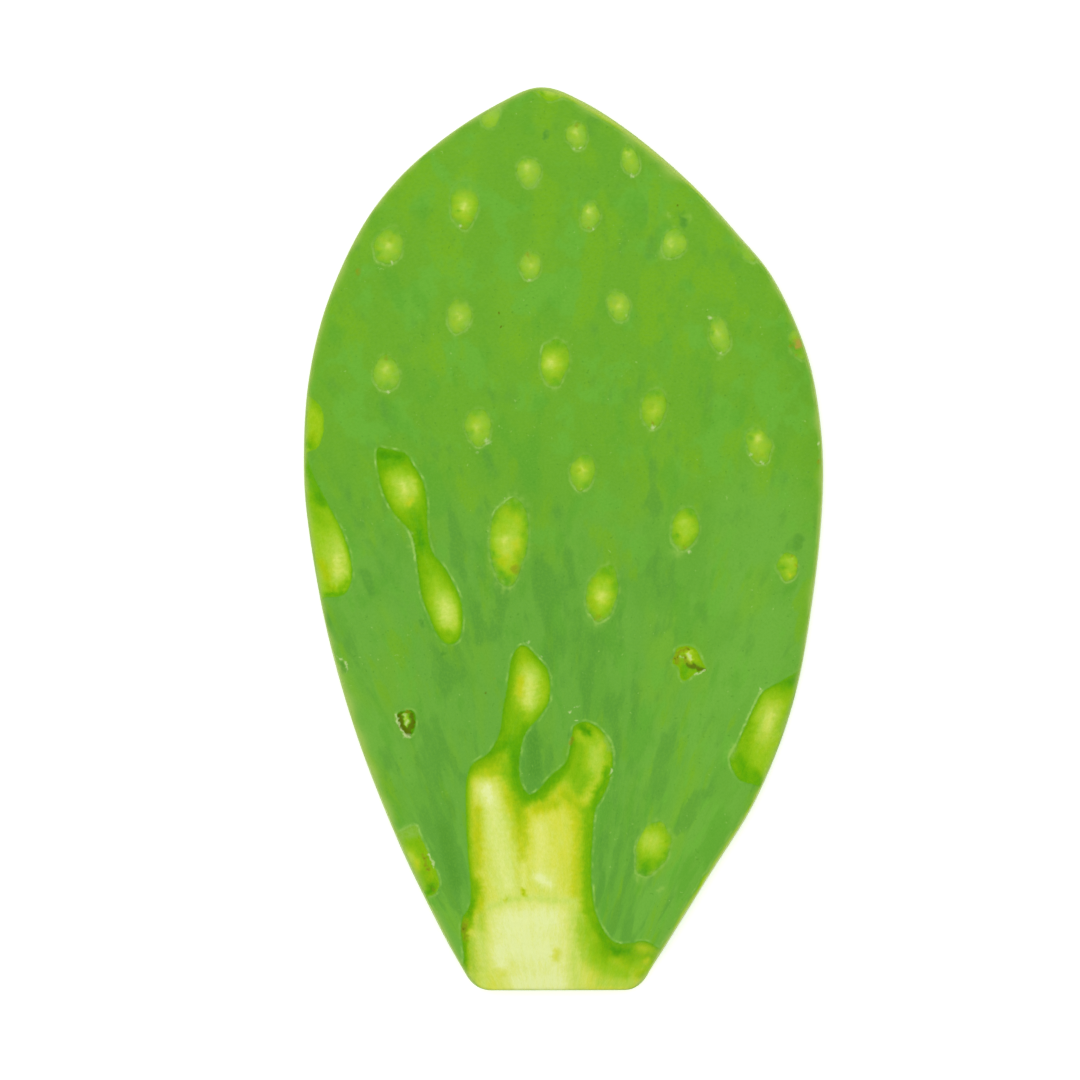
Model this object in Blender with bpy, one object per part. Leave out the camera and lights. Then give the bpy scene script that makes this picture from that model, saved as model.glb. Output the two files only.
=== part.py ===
"""A cleaned prickly pear cactus pad (nopal), lying on its underside.

The pad is one solid.  Its outline is a smooth egg shape with a blunt point at
the tip and a straight knife cut at the base.  Both faces are gently swollen
sheets over that outline.  Every areole stood on a low mound, and the cook's
knife has shaved each mound off: most shavings are small ovals, some run into
longer cuts, and one forked cut runs from the base up into two arms.

The pad lies in the XY plane with its tip toward +Y and its top face up.  The
origin is at the middle of the outline's box, on the surface it rests on.
Lengths are in millimetres until the mesh is made.
"""

import math

import bpy
import numpy as np
from mathutils import Vector
from mathutils.geometry import delaunay_2d_cdt
from mathutils.kdtree import KDTree

MM = 0.001

# ---------------------------------------------------------------- the pad
PAD_LENGTH = 200.0
HALF_LENGTH = PAD_LENGTH / 2
HALF_WIDTH = 57.5

BASE_HALF_THICKNESS = 6.2
TIP_HALF_THICKNESS = 3.2
MIDDLE_SWELL = 0.35
EDGE_THINNING = 0.14
MIDDLE_HEIGHT = 4.75
TIP_LIFT = 3.4
BASE_LIFT = 2.8
TWIST = 0.5
UNDER_CALM = 0.4
# The skin's slow waves: height, then turns per millimetre across and along, and phase.
UNDULATION = 0.22
WAVES = ((0.077, 0.032, 0.7), (-0.043, 0.053, 0.0))

RIM_ROUND = 9.0
RIM_TRIM = 1.3
TRIM_WIDTH = 0.5
WIDE_TRIM_WIDTH = 1.3
WIDE_TRIM_CENTRE = (14.0, 92.0)
WIDE_TRIM_REACH = 22.0
BASE_TRIM_WIDTH = 0.35
BASE_ZONE = 1.0

# The grown edge, from the left of the base cut round the tip to its right.
EDGE_ANCHORS = (
    (-21.8, -96.0), (-27.2, -86.3), (-36.4, -67.4), (-45.7, -43.7), (-52.5, -19.8),
    (-56.7, 4.1), (-57.5, 20.0), (-56.3, 36.0), (-52.4, 52.0), (-45.2, 68.0),
    (-36.9, 79.3), (-26.3, 88.7), (-14.7, 96.1), (-5.0, 99.9), (4.6, 96.6),
    (16.2, 89.0), (28.4, 78.5), (38.3, 67.8), (46.8, 57.2), (53.9, 41.3),
    (57.0, 25.4), (57.5, 9.4), (55.5, -11.8), (51.1, -35.9), (43.0, -57.1),
    (31.6, -75.7), (19.1, -95.8),
)
BASE_CORNERS = ((-19.8, -HALF_LENGTH), (17.0, -HALF_LENGTH))
BASE_FLAT = ((-16.0, -HALF_LENGTH), (13.6, -HALF_LENGTH))
# The grown edge ran on past the base cut, so the slab isn't rounded off there.
EDGE_BEYOND_BASE = ((-24.0, -110.0), (14.0, -110.0))

# ---------------------------------------------------------------- the areoles
MOUND_HEIGHT = 1.6
MOUND_REACH = 0.9
SHAVING_DOME = 0.1
SWEPT_DOME = 0.4
SWEPT_REACH = 3.2
PRESSED_DENT = 0.3

# The areoles of the top face stand in rows that fall to the right.  Each is
# (across, along, length, width, lean from +X in degrees) of its shaved oval.
TOP_AREOLES = (
    (3.1, 89.2, 6.3, 4.6, 96), (14.9, 83.7, 6.6, 4.0, 102),
    (-7.7, 81.1, 6.7, 5.3, 100), (5.8, 71.3, 6.4, 4.2, 86), (24.7, 65.6, 6.6, 5.4, 62),
    (-22.0, 74.2, 10.4, 6.4, 86), (-7.2, 60.6, 6.5, 4.7, 84), (12.2, 52.0, 6.8, 5.2, 104),
    (34.7, 45.2, 8.0, 4.6, 104),
    (-38.6, 65.2, 8.4, 6.3, 66), (-23.1, 49.6, 7.8, 5.3, 78), (-2.0, 39.2, 10.6, 6.4, 88),
    (19.9, 28.8, 8.6, 5.7, 84), (43.3, 20.9, 8.0, 5.6, 102),
    (-39.0, 36.9, 8.0, 5.8, 86), (-18.8, 25.2, 8.0, 6.0, 92), (4.4, 15.0, 8.2, 5.4, 78),
    (26.9, 2.2, 9.8, 5.9, 76), (49.7, -5.4, 6.0, 4.6, 92),
    (-11.9, -0.2, 18.8, 9.0, 86), (8.3, -12.0, 12.7, 6.7, 80), (27.5, -27.4, 9.0, 8.0, 80),
    (-34.6, -40.4, 6.9, 4.8, 105), (20.1, -68.4, 12.2, 7.4, 68),
)

# The underside has rows of its own, seen from below.  A row is its height on the
# pad's axis, its fall, its bow, and its areoles as (across, above the curve).
UNDER_ROWS = (
    (90.0, -0.50, 0.0, ((2.0, 0.0), (15.5, 0.0))),
    (76.0, -0.75, 0.012, ((-20.0, 0.0), (-6.0, 0.0), (8.0, 0.0), (27.0, 0.0))),
    (57.5, -0.57, 0.006, ((-37.0, 0.0), (-21.0, 0.0), (-5.0, 0.0), (13.0, 0.0), (36.0, 0.0))),
    (37.0, -0.54, 0.0035, ((-45.0, 0.0), (-24.0, 0.0), (-2.0, 0.0), (20.0, 0.0), (43.0, 0.0))),
    (14.0, -0.60, 0.004, ((-38.0, -1.0), (-16.0, -1.0), (6.0, 1.0), (28.0, 0.0), (47.0, 0.0))),
    (-8.0, -0.66, 0.0, ((-46.0, -1.0), (-30.0, 0.0), (-10.0, 0.0), (10.0, 0.0), (30.0, 0.0))),
    (-33.0, -0.70, 0.0, ((-38.0, 0.0), (-20.0, 0.0), (0.0, 0.0), (17.0, 0.0), (36.0, 3.0))),
    (-60.0, -0.70, 0.0, ((-24.0, -1.0), (20.0, 0.0))),
)
UNDER_SCATTER = 1.1
UNDER_SEED = 11
SHAVING_LENGTH = 8.2
SHAVING_GROWTH = -0.02
SHAVING_SPREAD = (0.85, 1.3)
SHAVING_ASPECT = 0.66
SHAVING_LEAN = 82.0
LEAN_SPREAD = 10.0

# ---------------------------------------------------------------- the long cuts
# A cut is its outline, how deep it goes, the width of its sloping wall, and the
# areoles it swept away.  An outline that leaves the pad opens onto its edge.
FORKED_CUT = {
    "outline": (
        (-22.2, -94.2), (-22.6, -87.0), (-22.3, -83.6), (-20.9, -81.2), (-20.5, -77.9),
        (-21.2, -69.0), (-21.6, -60.0), (-21.5, -53.6), (-20.2, -49.8), (-16.5, -47.1),
        (-14.2, -42.9), (-13.4, -37.6), (-12.5, -32.8), (-11.6, -26.8), (-10.0, -23.9),
        (-8.1, -23.7), (-5.4, -26.4), (-3.2, -29.6), (-3.0, -35.4), (-5.4, -39.6),
        (-8.1, -42.6), (-9.3, -46.4), (-9.7, -51.2), (-8.9, -54.8), (-7.3, -56.3),
        (-5.4, -55.2), (-2.9, -52.3), (0.4, -49.4), (1.5, -45.6), (2.2, -41.6),
        (4.6, -40.3), (7.4, -41.4), (10.2, -44.6), (11.0, -48.4), (10.5, -52.6),
        (8.9, -56.6), (7.1, -60.0), (6.5, -66.0), (6.2, -74.3), (6.9, -81.2),
        (8.4, -85.3), (10.4, -88.2), (12.6, -89.2), (15.2, -89.0), (18.2, -88.7),
        (21.6, -90.6), (26.5, -93.0), (26.0, -104.0), (-26.0, -104.0),
    ),
    "depth": 1.9,
    "wall": 6.0,
    "areoles": ((-7.4, -32.8), (6.6, -47.0), (-17.0, -55.4)),
}
SIDE_CUTS = (
    {   # two shavings joined by a narrow neck
        "outline": (
            (-41.3, 20.4), (-38.6, 20.2), (-35.0, 19.3), (-33.1, 16.6), (-31.1, 13.2),
            (-30.2, 8.6), (-30.1, 3.6), (-29.6, -0.6), (-28.5, -3.2), (-26.5, -5.6),
            (-24.2, -9.6), (-22.5, -14.0), (-22.4, -19.0), (-23.4, -22.2), (-26.0, -22.8),
            (-28.2, -20.4), (-29.8, -16.6), (-31.4, -12.4), (-32.3, -7.0), (-32.9, -2.0),
            (-34.2, 2.2), (-37.7, 6.2), (-39.9, 10.4), (-41.1, 15.4),
        ),
        "depth": 1.2,
        "wall": 4.2,
        "areoles": ((-35.0, 11.6), (-26.2, -15.8)),
    },
    {   # the long slice on the left edge
        "outline": (
            (-60.0, 19.0), (-56.9, 16.8), (-55.6, 14.2), (-53.7, 10.6), (-50.9, 5.8),
            (-48.5, 1.0), (-46.9, -4.4), (-46.7, -9.0), (-48.3, -12.2), (-52.0, -12.9),
            (-60.0, -12.4),
        ),
        "depth": 1.5,
        "wall": 5.5,
        "areoles": ((-50.2, -6.4),),
    },
    {   # the slice on the right edge
        "outline": (
            (57.0, -28.2), (52.2, -29.2), (47.6, -31.7), (44.0, -33.8), (41.4, -38.6),
            (38.5, -45.0), (36.7, -48.7), (38.5, -52.9), (41.5, -54.2), (43.4, -54.8),
            (48.0, -57.2), (53.0, -58.0),
        ),
        "depth": 1.5,
        "wall": 5.5,
        "areoles": ((45.4, -40.8),),
    },
    {   # the small ragged slice low on the left edge
        "outline": (
            (-42.0, -64.8), (-37.0, -65.0), (-33.8, -63.5), (-32.4, -63.4), (-31.7, -65.4),
            (-30.4, -67.9), (-28.9, -71.2), (-27.6, -74.4), (-27.4, -76.4), (-28.2, -78.2),
            (-30.0, -79.0), (-33.0, -79.4), (-38.0, -79.4),
        ),
        "depth": 0.9,
        "wall": 3.2,
        "areoles": (),
    },
    {   # the nick high on the left edge
        "outline": (
            (-61.0, 33.2), (-56.0, 31.4), (-53.6, 29.0), (-52.9, 26.0), (-53.3, 22.4),
            (-55.0, 19.6), (-61.0, 20.6),
        ),
        "depth": 0.7,
        "wall": 3.0,
        "areoles": (),
    },
)
UNDER_CUTS = (
    {   # the short slanting slice at the end of the base
        "outline": (
            (-26.0, -104.0), (-17.0, -90.0), (-11.0, -81.0), (-3.0, -77.4), (4.0, -79.0),
            (10.0, -84.6), (16.0, -91.0), (26.0, -104.0),
        ),
        "depth": 0.9,
        "wall": 6.0,
        "areoles": (),
    },
)

# The slanting slice that thins the end of the base, and the groove above it.
END_SLICE_START = -79.0
END_SLICE_DROP = 3.4
END_SLICE_POWER = 1.3
GROOVE = ((-9.0, -60.0), (-8.8, -78.5))
GROOVE_WIDTH = 1.1
GROOVE_DEPTH = 0.45

# ---------------------------------------------------------------- the mesh
# Steps are spacings along a line, rooms the least gap to a point placed before.
CURVE_SAMPLES = 24
FINE_STEP = 0.5
COARSE_STEP = 2.0
EDGE_STEP = 3.0
CUT_STEP = 1.9
RIM_RINGS = ((1.7, 1.1), (4.2, 2.2))
ROOM_TO_RIM = 0.8
WALL_LINE_INSET = 1.5
WALL_LINE_ROOM = 1.1
CUT_LATTICE = 2.5
CUT_ROOM = 0.66
SKIN_LATTICE = 3.9
UNDER_LATTICE = 4.8
SKIN_ROOM = 0.6
SHAVING_SIDES = 11
SHAVING_MIDDLE_ROOM = 0.5
SKIRT_RADIUS = 1.75
SKIRT_SIDES = 7
SKIRT_ROOM = 1.4
SHARP_ANGLE = 35.0
TINY = 1e-12

SKIN_COLOUR = (0.13, 0.39, 0.035, 1.0)
SKIN_ROUGHNESS = 0.5


# ---------------------------------------------------------------- curves
def spline(anchors, closed, step):
    """Points every `step` along a smooth curve through the anchors."""
    anchors = np.asarray(anchors, float)
    if closed:
        padded = np.vstack((anchors[-1:], anchors, anchors[:2]))
    else:
        first = 2 * anchors[0] - anchors[1]
        last = 2 * anchors[-1] - anchors[-2]
        padded = np.vstack((first, anchors, last))
    dense = []
    t = np.linspace(0, 1, CURVE_SAMPLES, endpoint=False)[:, None]
    for p0, p1, p2, p3 in zip(padded, padded[1:], padded[2:], padded[3:]):
        bend = 2 * p0 - 5 * p1 + 4 * p2 - p3
        twist = -p0 + 3 * p1 - 3 * p2 + p3
        dense.append(p1 + 0.5 * (t * (p2 - p0) + t**2 * bend + t**3 * twist))
    if closed:
        dense.append(anchors[:1])
    else:
        dense.append(anchors[-1:])
    return resample(np.vstack(dense), step, closed)


def resample(line, step, closed):
    """The polyline's points respaced evenly; a closed line doesn't repeat its first point."""
    along = np.concatenate(([0.0], np.cumsum(np.linalg.norm(np.diff(line, axis=0), axis=1))))
    count = max(int(round(along[-1] / step)), 4)
    stations = np.linspace(0, along[-1], count + 1)
    if closed:
        stations = stations[:-1]
    return np.column_stack([np.interp(stations, along, line[:, k]) for k in (0, 1)])


def rounded_corner(start, corner, end, count=8):
    """A quadratic curve that rounds off a corner."""
    start, corner, end = (np.asarray(p, float) for p in (start, corner, end))
    t = np.linspace(0, 1, count)[:, None]
    return (1 - t) ** 2 * start + 2 * t * (1 - t) * corner + t**2 * end


def grown_edge(step):
    return spline(EDGE_ANCHORS, False, step)


def pad_outline(step):
    """The closed outline, anticlockwise, from the right of the base round the tip."""
    edge = grown_edge(FINE_STEP)[::-1]
    left_corner = rounded_corner(EDGE_ANCHORS[0], BASE_CORNERS[0], BASE_FLAT[0])
    right_corner = rounded_corner(BASE_FLAT[1], BASE_CORNERS[1], EDGE_ANCHORS[-1])
    loop = np.vstack((edge, left_corner[1:], right_corner[:-1], edge[:1]))
    return resample(loop, step, True)


def inward_normals(loop):
    tangent = np.roll(loop, -1, axis=0) - np.roll(loop, 1, axis=0)
    tangent /= np.linalg.norm(tangent, axis=1)[:, None]
    return np.column_stack((-tangent[:, 1], tangent[:, 0]))


# ---------------------------------------------------------------- distances
def distance_to_line(points, line, closed):
    """Distance from each point to a polyline."""
    ends = np.roll(line, -1, axis=0) if closed else line[1:]
    starts = line if closed else line[:-1]
    nearest = np.full(len(points), np.inf)
    for start, end in zip(starts, ends):
        run = end - start
        share = np.clip((points - start) @ run / max(run @ run, TINY), 0, 1)
        gap = np.linalg.norm(points - start - share[:, None] * run, axis=1)
        nearest = np.minimum(nearest, gap)
    return nearest


def is_inside(points, loop):
    inside = np.zeros(len(points), bool)
    x, y = points.T
    for (x0, y0), (x1, y1) in zip(loop, np.roll(loop, -1, axis=0)):
        if y0 != y1:
            crosses = (y0 > y) != (y1 > y)
            inside ^= crosses & (x < x0 + (y - y0) * (x1 - x0) / (y1 - y0))
    return inside


def depth_inside(points, loop):
    """Distance in from a closed outline, or 0 outside it."""
    near = np.all((points > loop.min(0)) & (points < loop.max(0)), axis=1)
    result = np.zeros(len(points))
    if near.any():
        inner = distance_to_line(points[near], loop, True)
        result[near] = np.where(is_inside(points[near], loop), inner, 0.0)
    return result


# ---------------------------------------------------------------- areoles
class Shaving:
    """One areole's mound and the oval the knife left on it."""

    def __init__(self, x, y, length, width, lean):
        self.centre = np.array((x, y))
        self.half = np.array((length / 2, width / 2))
        angle = math.radians(lean)
        self.axis = np.array((math.cos(angle), math.sin(angle)))

    def local(self, points):
        """Each point's place in the oval, whose outline is at radius 1."""
        away = points - self.centre
        along = away @ self.axis
        across = away @ np.array((-self.axis[1], self.axis[0]))
        return np.column_stack((along / self.half[0], across / self.half[1]))

    def ring(self, radius, sides, turn=0.0):
        angle = (np.arange(sides) + turn) * 2 * math.pi / sides
        along = radius * self.half[0] * np.cos(angle)
        across = radius * self.half[1] * np.sin(angle)
        side = np.array((-self.axis[1], self.axis[0]))
        return self.centre + along[:, None] * self.axis + across[:, None] * side


def row_place(row, across, rise):
    height, fall, bow, _ = row
    return across, height + fall * across + bow * across**2 + rise


def top_shavings():
    return [Shaving(*areole) for areole in TOP_AREOLES]


def under_shavings():
    rng = np.random.default_rng(UNDER_SEED)
    shavings = []
    for row in UNDER_ROWS:
        for across, rise in row[3]:
            x, y = row_place(row, across, rise)
            x, y = np.array((x, y)) + rng.uniform(-UNDER_SCATTER, UNDER_SCATTER, 2)
            length = rng.uniform(*SHAVING_SPREAD) * (SHAVING_LENGTH + SHAVING_GROWTH * y)
            lean = SHAVING_LEAN + rng.uniform(-LEAN_SPREAD, LEAN_SPREAD)
            shavings.append(Shaving(-x, y, length, SHAVING_ASPECT * length, lean))
    return shavings


def swept_areole(points, centre):
    """The low dome that stays where a long cut swept over an areole."""
    away2 = np.sum((points - np.array(centre)) ** 2, axis=1)
    return SWEPT_DOME * np.exp(-away2 / SWEPT_REACH**2)


# ---------------------------------------------------------------- the form
def half_thickness(points):
    x, y = points.T
    up = (y + HALF_LENGTH) / PAD_LENGTH
    middle = BASE_HALF_THICKNESS + (TIP_HALF_THICKNESS - BASE_HALF_THICKNESS) * up
    middle = middle + 4 * MIDDLE_SWELL * up * (1 - up)
    middle = middle * (1 - EDGE_THINNING * (x / HALF_WIDTH) ** 2)
    left_end, right_end = EDGE_BEYOND_BASE
    edge = np.vstack((left_end, grown_edge(COARSE_STEP), right_end))
    in_from_edge = distance_to_line(points, edge, False)
    rounding = 1 - np.clip((in_from_edge + RIM_TRIM) / RIM_ROUND, 0, 1)
    return middle * np.sqrt(1 - rounding**2)


def middle_height(points):
    """Height of the pad's middle layer, which bows up toward the tip and the base."""
    x, y = points.T
    up = np.clip(y, 0, None) / HALF_LENGTH
    down = np.clip(-y, 0, None) / HALF_LENGTH
    twist = TWIST * (x / HALF_WIDTH) * (y / HALF_LENGTH)
    return MIDDLE_HEIGHT + TIP_LIFT * up**2 + BASE_LIFT * down**2 + twist


def undulation(points):
    x, y = points.T
    waves = [np.sin(across * x + along * y + phase) for across, along, phase in WAVES]
    return UNDULATION * sum(waves)


def wall_profile(inward, wall):
    return 1 - (1 - np.clip(inward / wall, 0, 1)) ** 2


def end_slice(points):
    down = np.clip((END_SLICE_START - points[:, 1]) / (END_SLICE_START + HALF_LENGTH), 0, None)
    return END_SLICE_DROP * down**END_SLICE_POWER


def groove(points):
    gap = distance_to_line(points, np.array(GROOVE), False)
    return GROOVE_DEPTH * np.exp(-((gap / GROOVE_WIDTH) ** 2))


def shaved_mounds(points, shavings):
    """How far the skin stands up at its mounds, whose tops are cut to a shallow dome."""
    raised = np.zeros(len(points))
    height_at_rim = MOUND_HEIGHT * math.exp(-1 / MOUND_REACH**2)
    for shaving in shavings:
        radius2 = np.sum(shaving.local(points) ** 2, axis=1)
        bump = MOUND_HEIGHT * np.exp(-radius2 / MOUND_REACH**2)
        cut_face = height_at_rim + SHAVING_DOME * (1 - radius2)
        raised += np.where(radius2 < 1, cut_face, bump)
    return raised


def pressed_dents(points, shavings):
    """The faint hollow of each shaving, which stays where the pad is pressed flat."""
    dent = np.zeros(len(points))
    for shaving in shavings:
        radius2 = np.sum(shaving.local(points) ** 2, axis=1)
        dent = np.maximum(dent, PRESSED_DENT * (1 - radius2))
    return dent


def cut_depth(points, cuts):
    """How deep the long cuts go below the skin."""
    depth = np.zeros(len(points))
    for cut in cuts:
        inward = depth_inside(points, cut["loop"])
        below = np.full(len(points), cut["depth"])
        for centre in cut["areoles"]:
            below -= swept_areole(points, centre)
        if cut is FORKED_CUT:
            below += end_slice(points) + groove(points)
        depth = np.maximum(depth, below * wall_profile(inward, cut["wall"]))
    return depth


def top_height(points, shavings, cuts):
    skin = middle_height(points) + half_thickness(points) + undulation(points)
    return skin + shaved_mounds(points, shavings) - cut_depth(points, cuts)


def under_height(points, shavings, cuts):
    """The underside, pressed flat where the pad rests."""
    skin = middle_height(points) - half_thickness(points) - UNDER_CALM * undulation(points)
    pressed = np.maximum(skin - shaved_mounds(points, shavings), 0.0)
    return pressed + pressed_dents(points, shavings) + cut_depth(points, cuts)


# ---------------------------------------------------------------- the sheets
def hex_lattice(loop, step):
    low, high = loop.min(0), loop.max(0)
    rows = np.arange(low[1], high[1], step * math.sqrt(3) / 2)
    points = []
    for number, y in enumerate(rows):
        xs = np.arange(low[0] + (number % 2) * step / 2, high[0], step)
        points.append(np.column_stack((xs, np.full(len(xs), y))))
    return np.vstack(points)


class Sheet:
    """One face of the pad, as points in the plane and the lines the mesh must keep."""

    def __init__(self, rim):
        self.rim = rim
        self.points = rim.tolist()
        count = len(rim)
        self.lines = [(i, (i + 1) % count) for i in range(count)]

    def keep_clear(self, points, room):
        """Those of the points with at least `room` to every point placed before."""
        tree = KDTree(len(self.points))
        for index, (x, y) in enumerate(self.points):
            tree.insert((x, y, 0.0), index)
        tree.balance()
        return [p for p in points.tolist() if tree.find((p[0], p[1], 0.0))[2] > room]

    def add_line(self, line, closed):
        """A line the mesh keeps, broken where it comes near the rim."""
        usable = depth_inside(line, self.rim) > ROOM_TO_RIM
        first = len(self.points)
        index = np.cumsum(usable) - 1 + first
        self.points.extend(line[usable].tolist())
        last = len(line) if closed else len(line) - 1
        for i in range(last):
            j = (i + 1) % len(line)
            if usable[i] and usable[j]:
                self.lines.append((int(index[i]), int(index[j])))

    def add_points(self, points, room):
        points = points[depth_inside(points, self.rim) > ROOM_TO_RIM]
        self.points.extend(self.keep_clear(points, room))

    def triangles(self):
        corners = [Vector(p) for p in self.points]
        verts, _, faces, _, _, _ = delaunay_2d_cdt(corners, self.lines, [], 0, 1e-6, True)
        if len(verts) != len(corners):
            raise ValueError("two of the sheet's lines cross")
        faces = np.array(faces)
        middles = np.array(self.points)[faces].mean(axis=1)
        return faces[is_inside(middles, self.rim)]


def fill_sheet(sheet, outline, shavings, cuts, lattice):
    for cut in cuts:
        sheet.add_line(cut["loop"], True)
    for shaving in shavings:
        sheet.add_line(shaving.ring(1.0, SHAVING_SIDES), True)
    for shaving in shavings:
        sheet.add_points(shaving.centre[None, :], SHAVING_MIDDLE_ROOM)
    normals = inward_normals(outline)
    for inset, room in RIM_RINGS:
        sheet.add_points(outline + inset * normals, room)
    for cut in cuts:
        wall_line = cut["loop"] + WALL_LINE_INSET * inward_normals(cut["loop"])
        sheet.add_points(wall_line, WALL_LINE_ROOM)
    for cut in cuts:
        inner = hex_lattice(cut["loop"], CUT_LATTICE)
        sheet.add_points(inner[is_inside(inner, cut["loop"])], CUT_ROOM * CUT_LATTICE)
    for shaving in shavings:
        sheet.add_points(shaving.ring(SKIRT_RADIUS, SKIRT_SIDES, 0.5), SKIRT_ROOM)
    sheet.add_points(hex_lattice(outline, lattice), SKIN_ROOM * lattice)


# ---------------------------------------------------------------- the solid
def trim_width(outline):
    """Width of the strip the knife took off the rim, seen from above."""
    reach = np.linalg.norm(outline - np.array(WIDE_TRIM_CENTRE), axis=1) / WIDE_TRIM_REACH
    width = TRIM_WIDTH + (WIDE_TRIM_WIDTH - TRIM_WIDTH) * np.exp(-(reach**2))
    at_base = outline[:, 1] < -HALF_LENGTH + BASE_ZONE
    return np.where(at_base, BASE_TRIM_WIDTH, width)


def cut_loops(cuts):
    for cut in cuts:
        cut["loop"] = spline(cut["outline"], True, CUT_STEP)
    return cuts


def pad_mesh():
    """Points and faces of the whole pad: two sheets joined round the rim."""
    outline = pad_outline(EDGE_STEP)
    crease = outline + trim_width(outline)[:, None] * inward_normals(outline)
    count = len(outline)

    top_cuts = cut_loops((FORKED_CUT, *SIDE_CUTS))
    shavings = top_shavings()
    top = Sheet(crease)
    fill_sheet(top, outline, shavings, top_cuts, SKIN_LATTICE)
    top_points = np.array(top.points)
    top_z = top_height(top_points, shavings, top_cuts)

    under_cuts = cut_loops(UNDER_CUTS)
    low_shavings = under_shavings()
    under = Sheet(crease)
    fill_sheet(under, outline, low_shavings, under_cuts, UNDER_LATTICE)
    under_points = np.array(under.points)
    under_z = under_height(under_points, low_shavings, under_cuts)

    waist_z = (top_z[:count] + under_z[:count]) / 2
    flat = np.vstack((outline, top_points, under_points))
    heights = np.concatenate((waist_z, top_z, under_z))
    points = np.column_stack((flat, heights))
    points[:, :2] -= (outline.max(0) + outline.min(0)) / 2

    first_top = count
    first_under = count + len(top_points)
    faces = [tuple(f) for f in (top.triangles() + first_top).tolist()]
    faces += [tuple(f[::-1]) for f in (under.triangles() + first_under).tolist()]
    for i in range(count):
        j = (i + 1) % count
        faces.append((i, j, first_top + j))
        faces.append((i, first_top + j, first_top + i))
        faces.append((j, i, first_under + i))
        faces.append((j, first_under + i, first_under + j))
    return points, faces


# ---------------------------------------------------------------- materials
def skin_material():
    material = bpy.data.materials.new("pad_skin")
    material.use_nodes = True
    shader = material.node_tree.nodes["Principled BSDF"]
    shader.inputs["Base Color"].default_value = SKIN_COLOUR
    shader.inputs["Roughness"].default_value = SKIN_ROUGHNESS
    shader.inputs["Metallic"].default_value = 0.0
    return material


def main():
    for thing in list(bpy.data.objects):
        bpy.data.objects.remove(thing)
    points, faces = pad_mesh()
    mesh = bpy.data.meshes.new("pad")
    mesh.from_pydata((points * MM).tolist(), [], faces)
    mesh.validate()
    pad = bpy.data.objects.new("pad", mesh)
    bpy.context.scene.collection.objects.link(pad)
    mesh.materials.append(skin_material())
    mesh.shade_smooth()
    mesh.set_sharp_from_angle(angle=math.radians(SHARP_ANGLE))
    low, high = points.min(0), points.max(0)
    print("pad triangles", len(faces), "size mm", np.round(high - low, 2))
    print("middle of the outline", np.round((low + high)[:2] / 2, 3), "lowest", low[2])


main()
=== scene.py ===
# %% [markdown]
# # A cleaned prickly pear pad
#
# A prickly pear pad is a flattened stem joint. A cook lays it flat, shaves off
# every spine cushion with a knife, trims the thin rim and cuts the base straight.
# What is left is a green, waxy, egg-shaped slab. Wherever the blade went through
# the skin, the wet flesh shows, from a strong green just under the skin to a
# creamy yellow-green further in.
#
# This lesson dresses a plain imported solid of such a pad. The solid gives the size
# and the place. We model the real surface finely, store on each point how far it
# lies inside a cut and what was painted there, and let one material turn those
# numbers into colour.

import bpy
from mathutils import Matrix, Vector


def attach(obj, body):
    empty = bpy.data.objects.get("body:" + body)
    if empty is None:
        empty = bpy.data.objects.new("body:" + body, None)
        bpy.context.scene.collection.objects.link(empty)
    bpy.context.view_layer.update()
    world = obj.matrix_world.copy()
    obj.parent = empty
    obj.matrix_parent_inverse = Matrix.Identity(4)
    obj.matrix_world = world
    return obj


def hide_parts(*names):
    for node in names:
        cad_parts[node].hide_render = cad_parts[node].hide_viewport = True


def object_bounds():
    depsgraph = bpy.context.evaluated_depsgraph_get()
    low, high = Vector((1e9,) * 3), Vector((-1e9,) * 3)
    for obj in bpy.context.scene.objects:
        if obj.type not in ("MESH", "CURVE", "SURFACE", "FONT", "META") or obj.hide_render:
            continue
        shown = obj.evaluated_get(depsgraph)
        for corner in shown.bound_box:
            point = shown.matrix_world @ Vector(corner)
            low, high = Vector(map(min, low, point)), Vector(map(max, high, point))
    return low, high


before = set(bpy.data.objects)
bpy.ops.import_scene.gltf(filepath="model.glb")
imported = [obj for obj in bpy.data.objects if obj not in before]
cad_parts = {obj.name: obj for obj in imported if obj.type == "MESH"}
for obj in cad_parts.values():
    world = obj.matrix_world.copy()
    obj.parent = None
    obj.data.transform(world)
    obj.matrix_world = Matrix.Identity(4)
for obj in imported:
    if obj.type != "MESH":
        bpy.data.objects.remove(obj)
cad_low, cad_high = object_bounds()
print("the solid's box, metres:", [round(v, 4) for v in (*cad_low, *cad_high)])

# %% [markdown]
# ## The camera
#
# The pad lies flat, so the camera hangs straight above it. A long lens keeps the
# thin edge from flaring outwards. The pad sits a little to the right of the
# middle of the picture, so the camera stands a little to its left.

# %% Camera
import math
import bpy
import numpy as np
from mathutils import Vector
from mathutils.geometry import delaunay_2d_cdt
from mathutils.kdtree import KDTree

LENS = 220.0
SENSOR = 36.0
PICTURE_PER_PAD = 1.196      # side of the picture over the pad's length
CAMERA_ASIDE = -0.0052
CAMERA_DOWN = -0.0002

pad_length = cad_high[1] - cad_low[1]
camera_data = bpy.data.cameras.new("camera")
camera_data.lens = LENS
camera_data.sensor_width = SENSOR
camera = bpy.data.objects.new("camera", camera_data)
bpy.context.scene.collection.objects.link(camera)
camera_height = PICTURE_PER_PAD * pad_length * LENS / SENSOR
camera.location = (CAMERA_ASIDE, CAMERA_DOWN, camera_height + cad_high[2] / 2)
bpy.context.scene.camera = camera
print("camera height, metres:", round(camera.location.z, 3))

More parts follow.
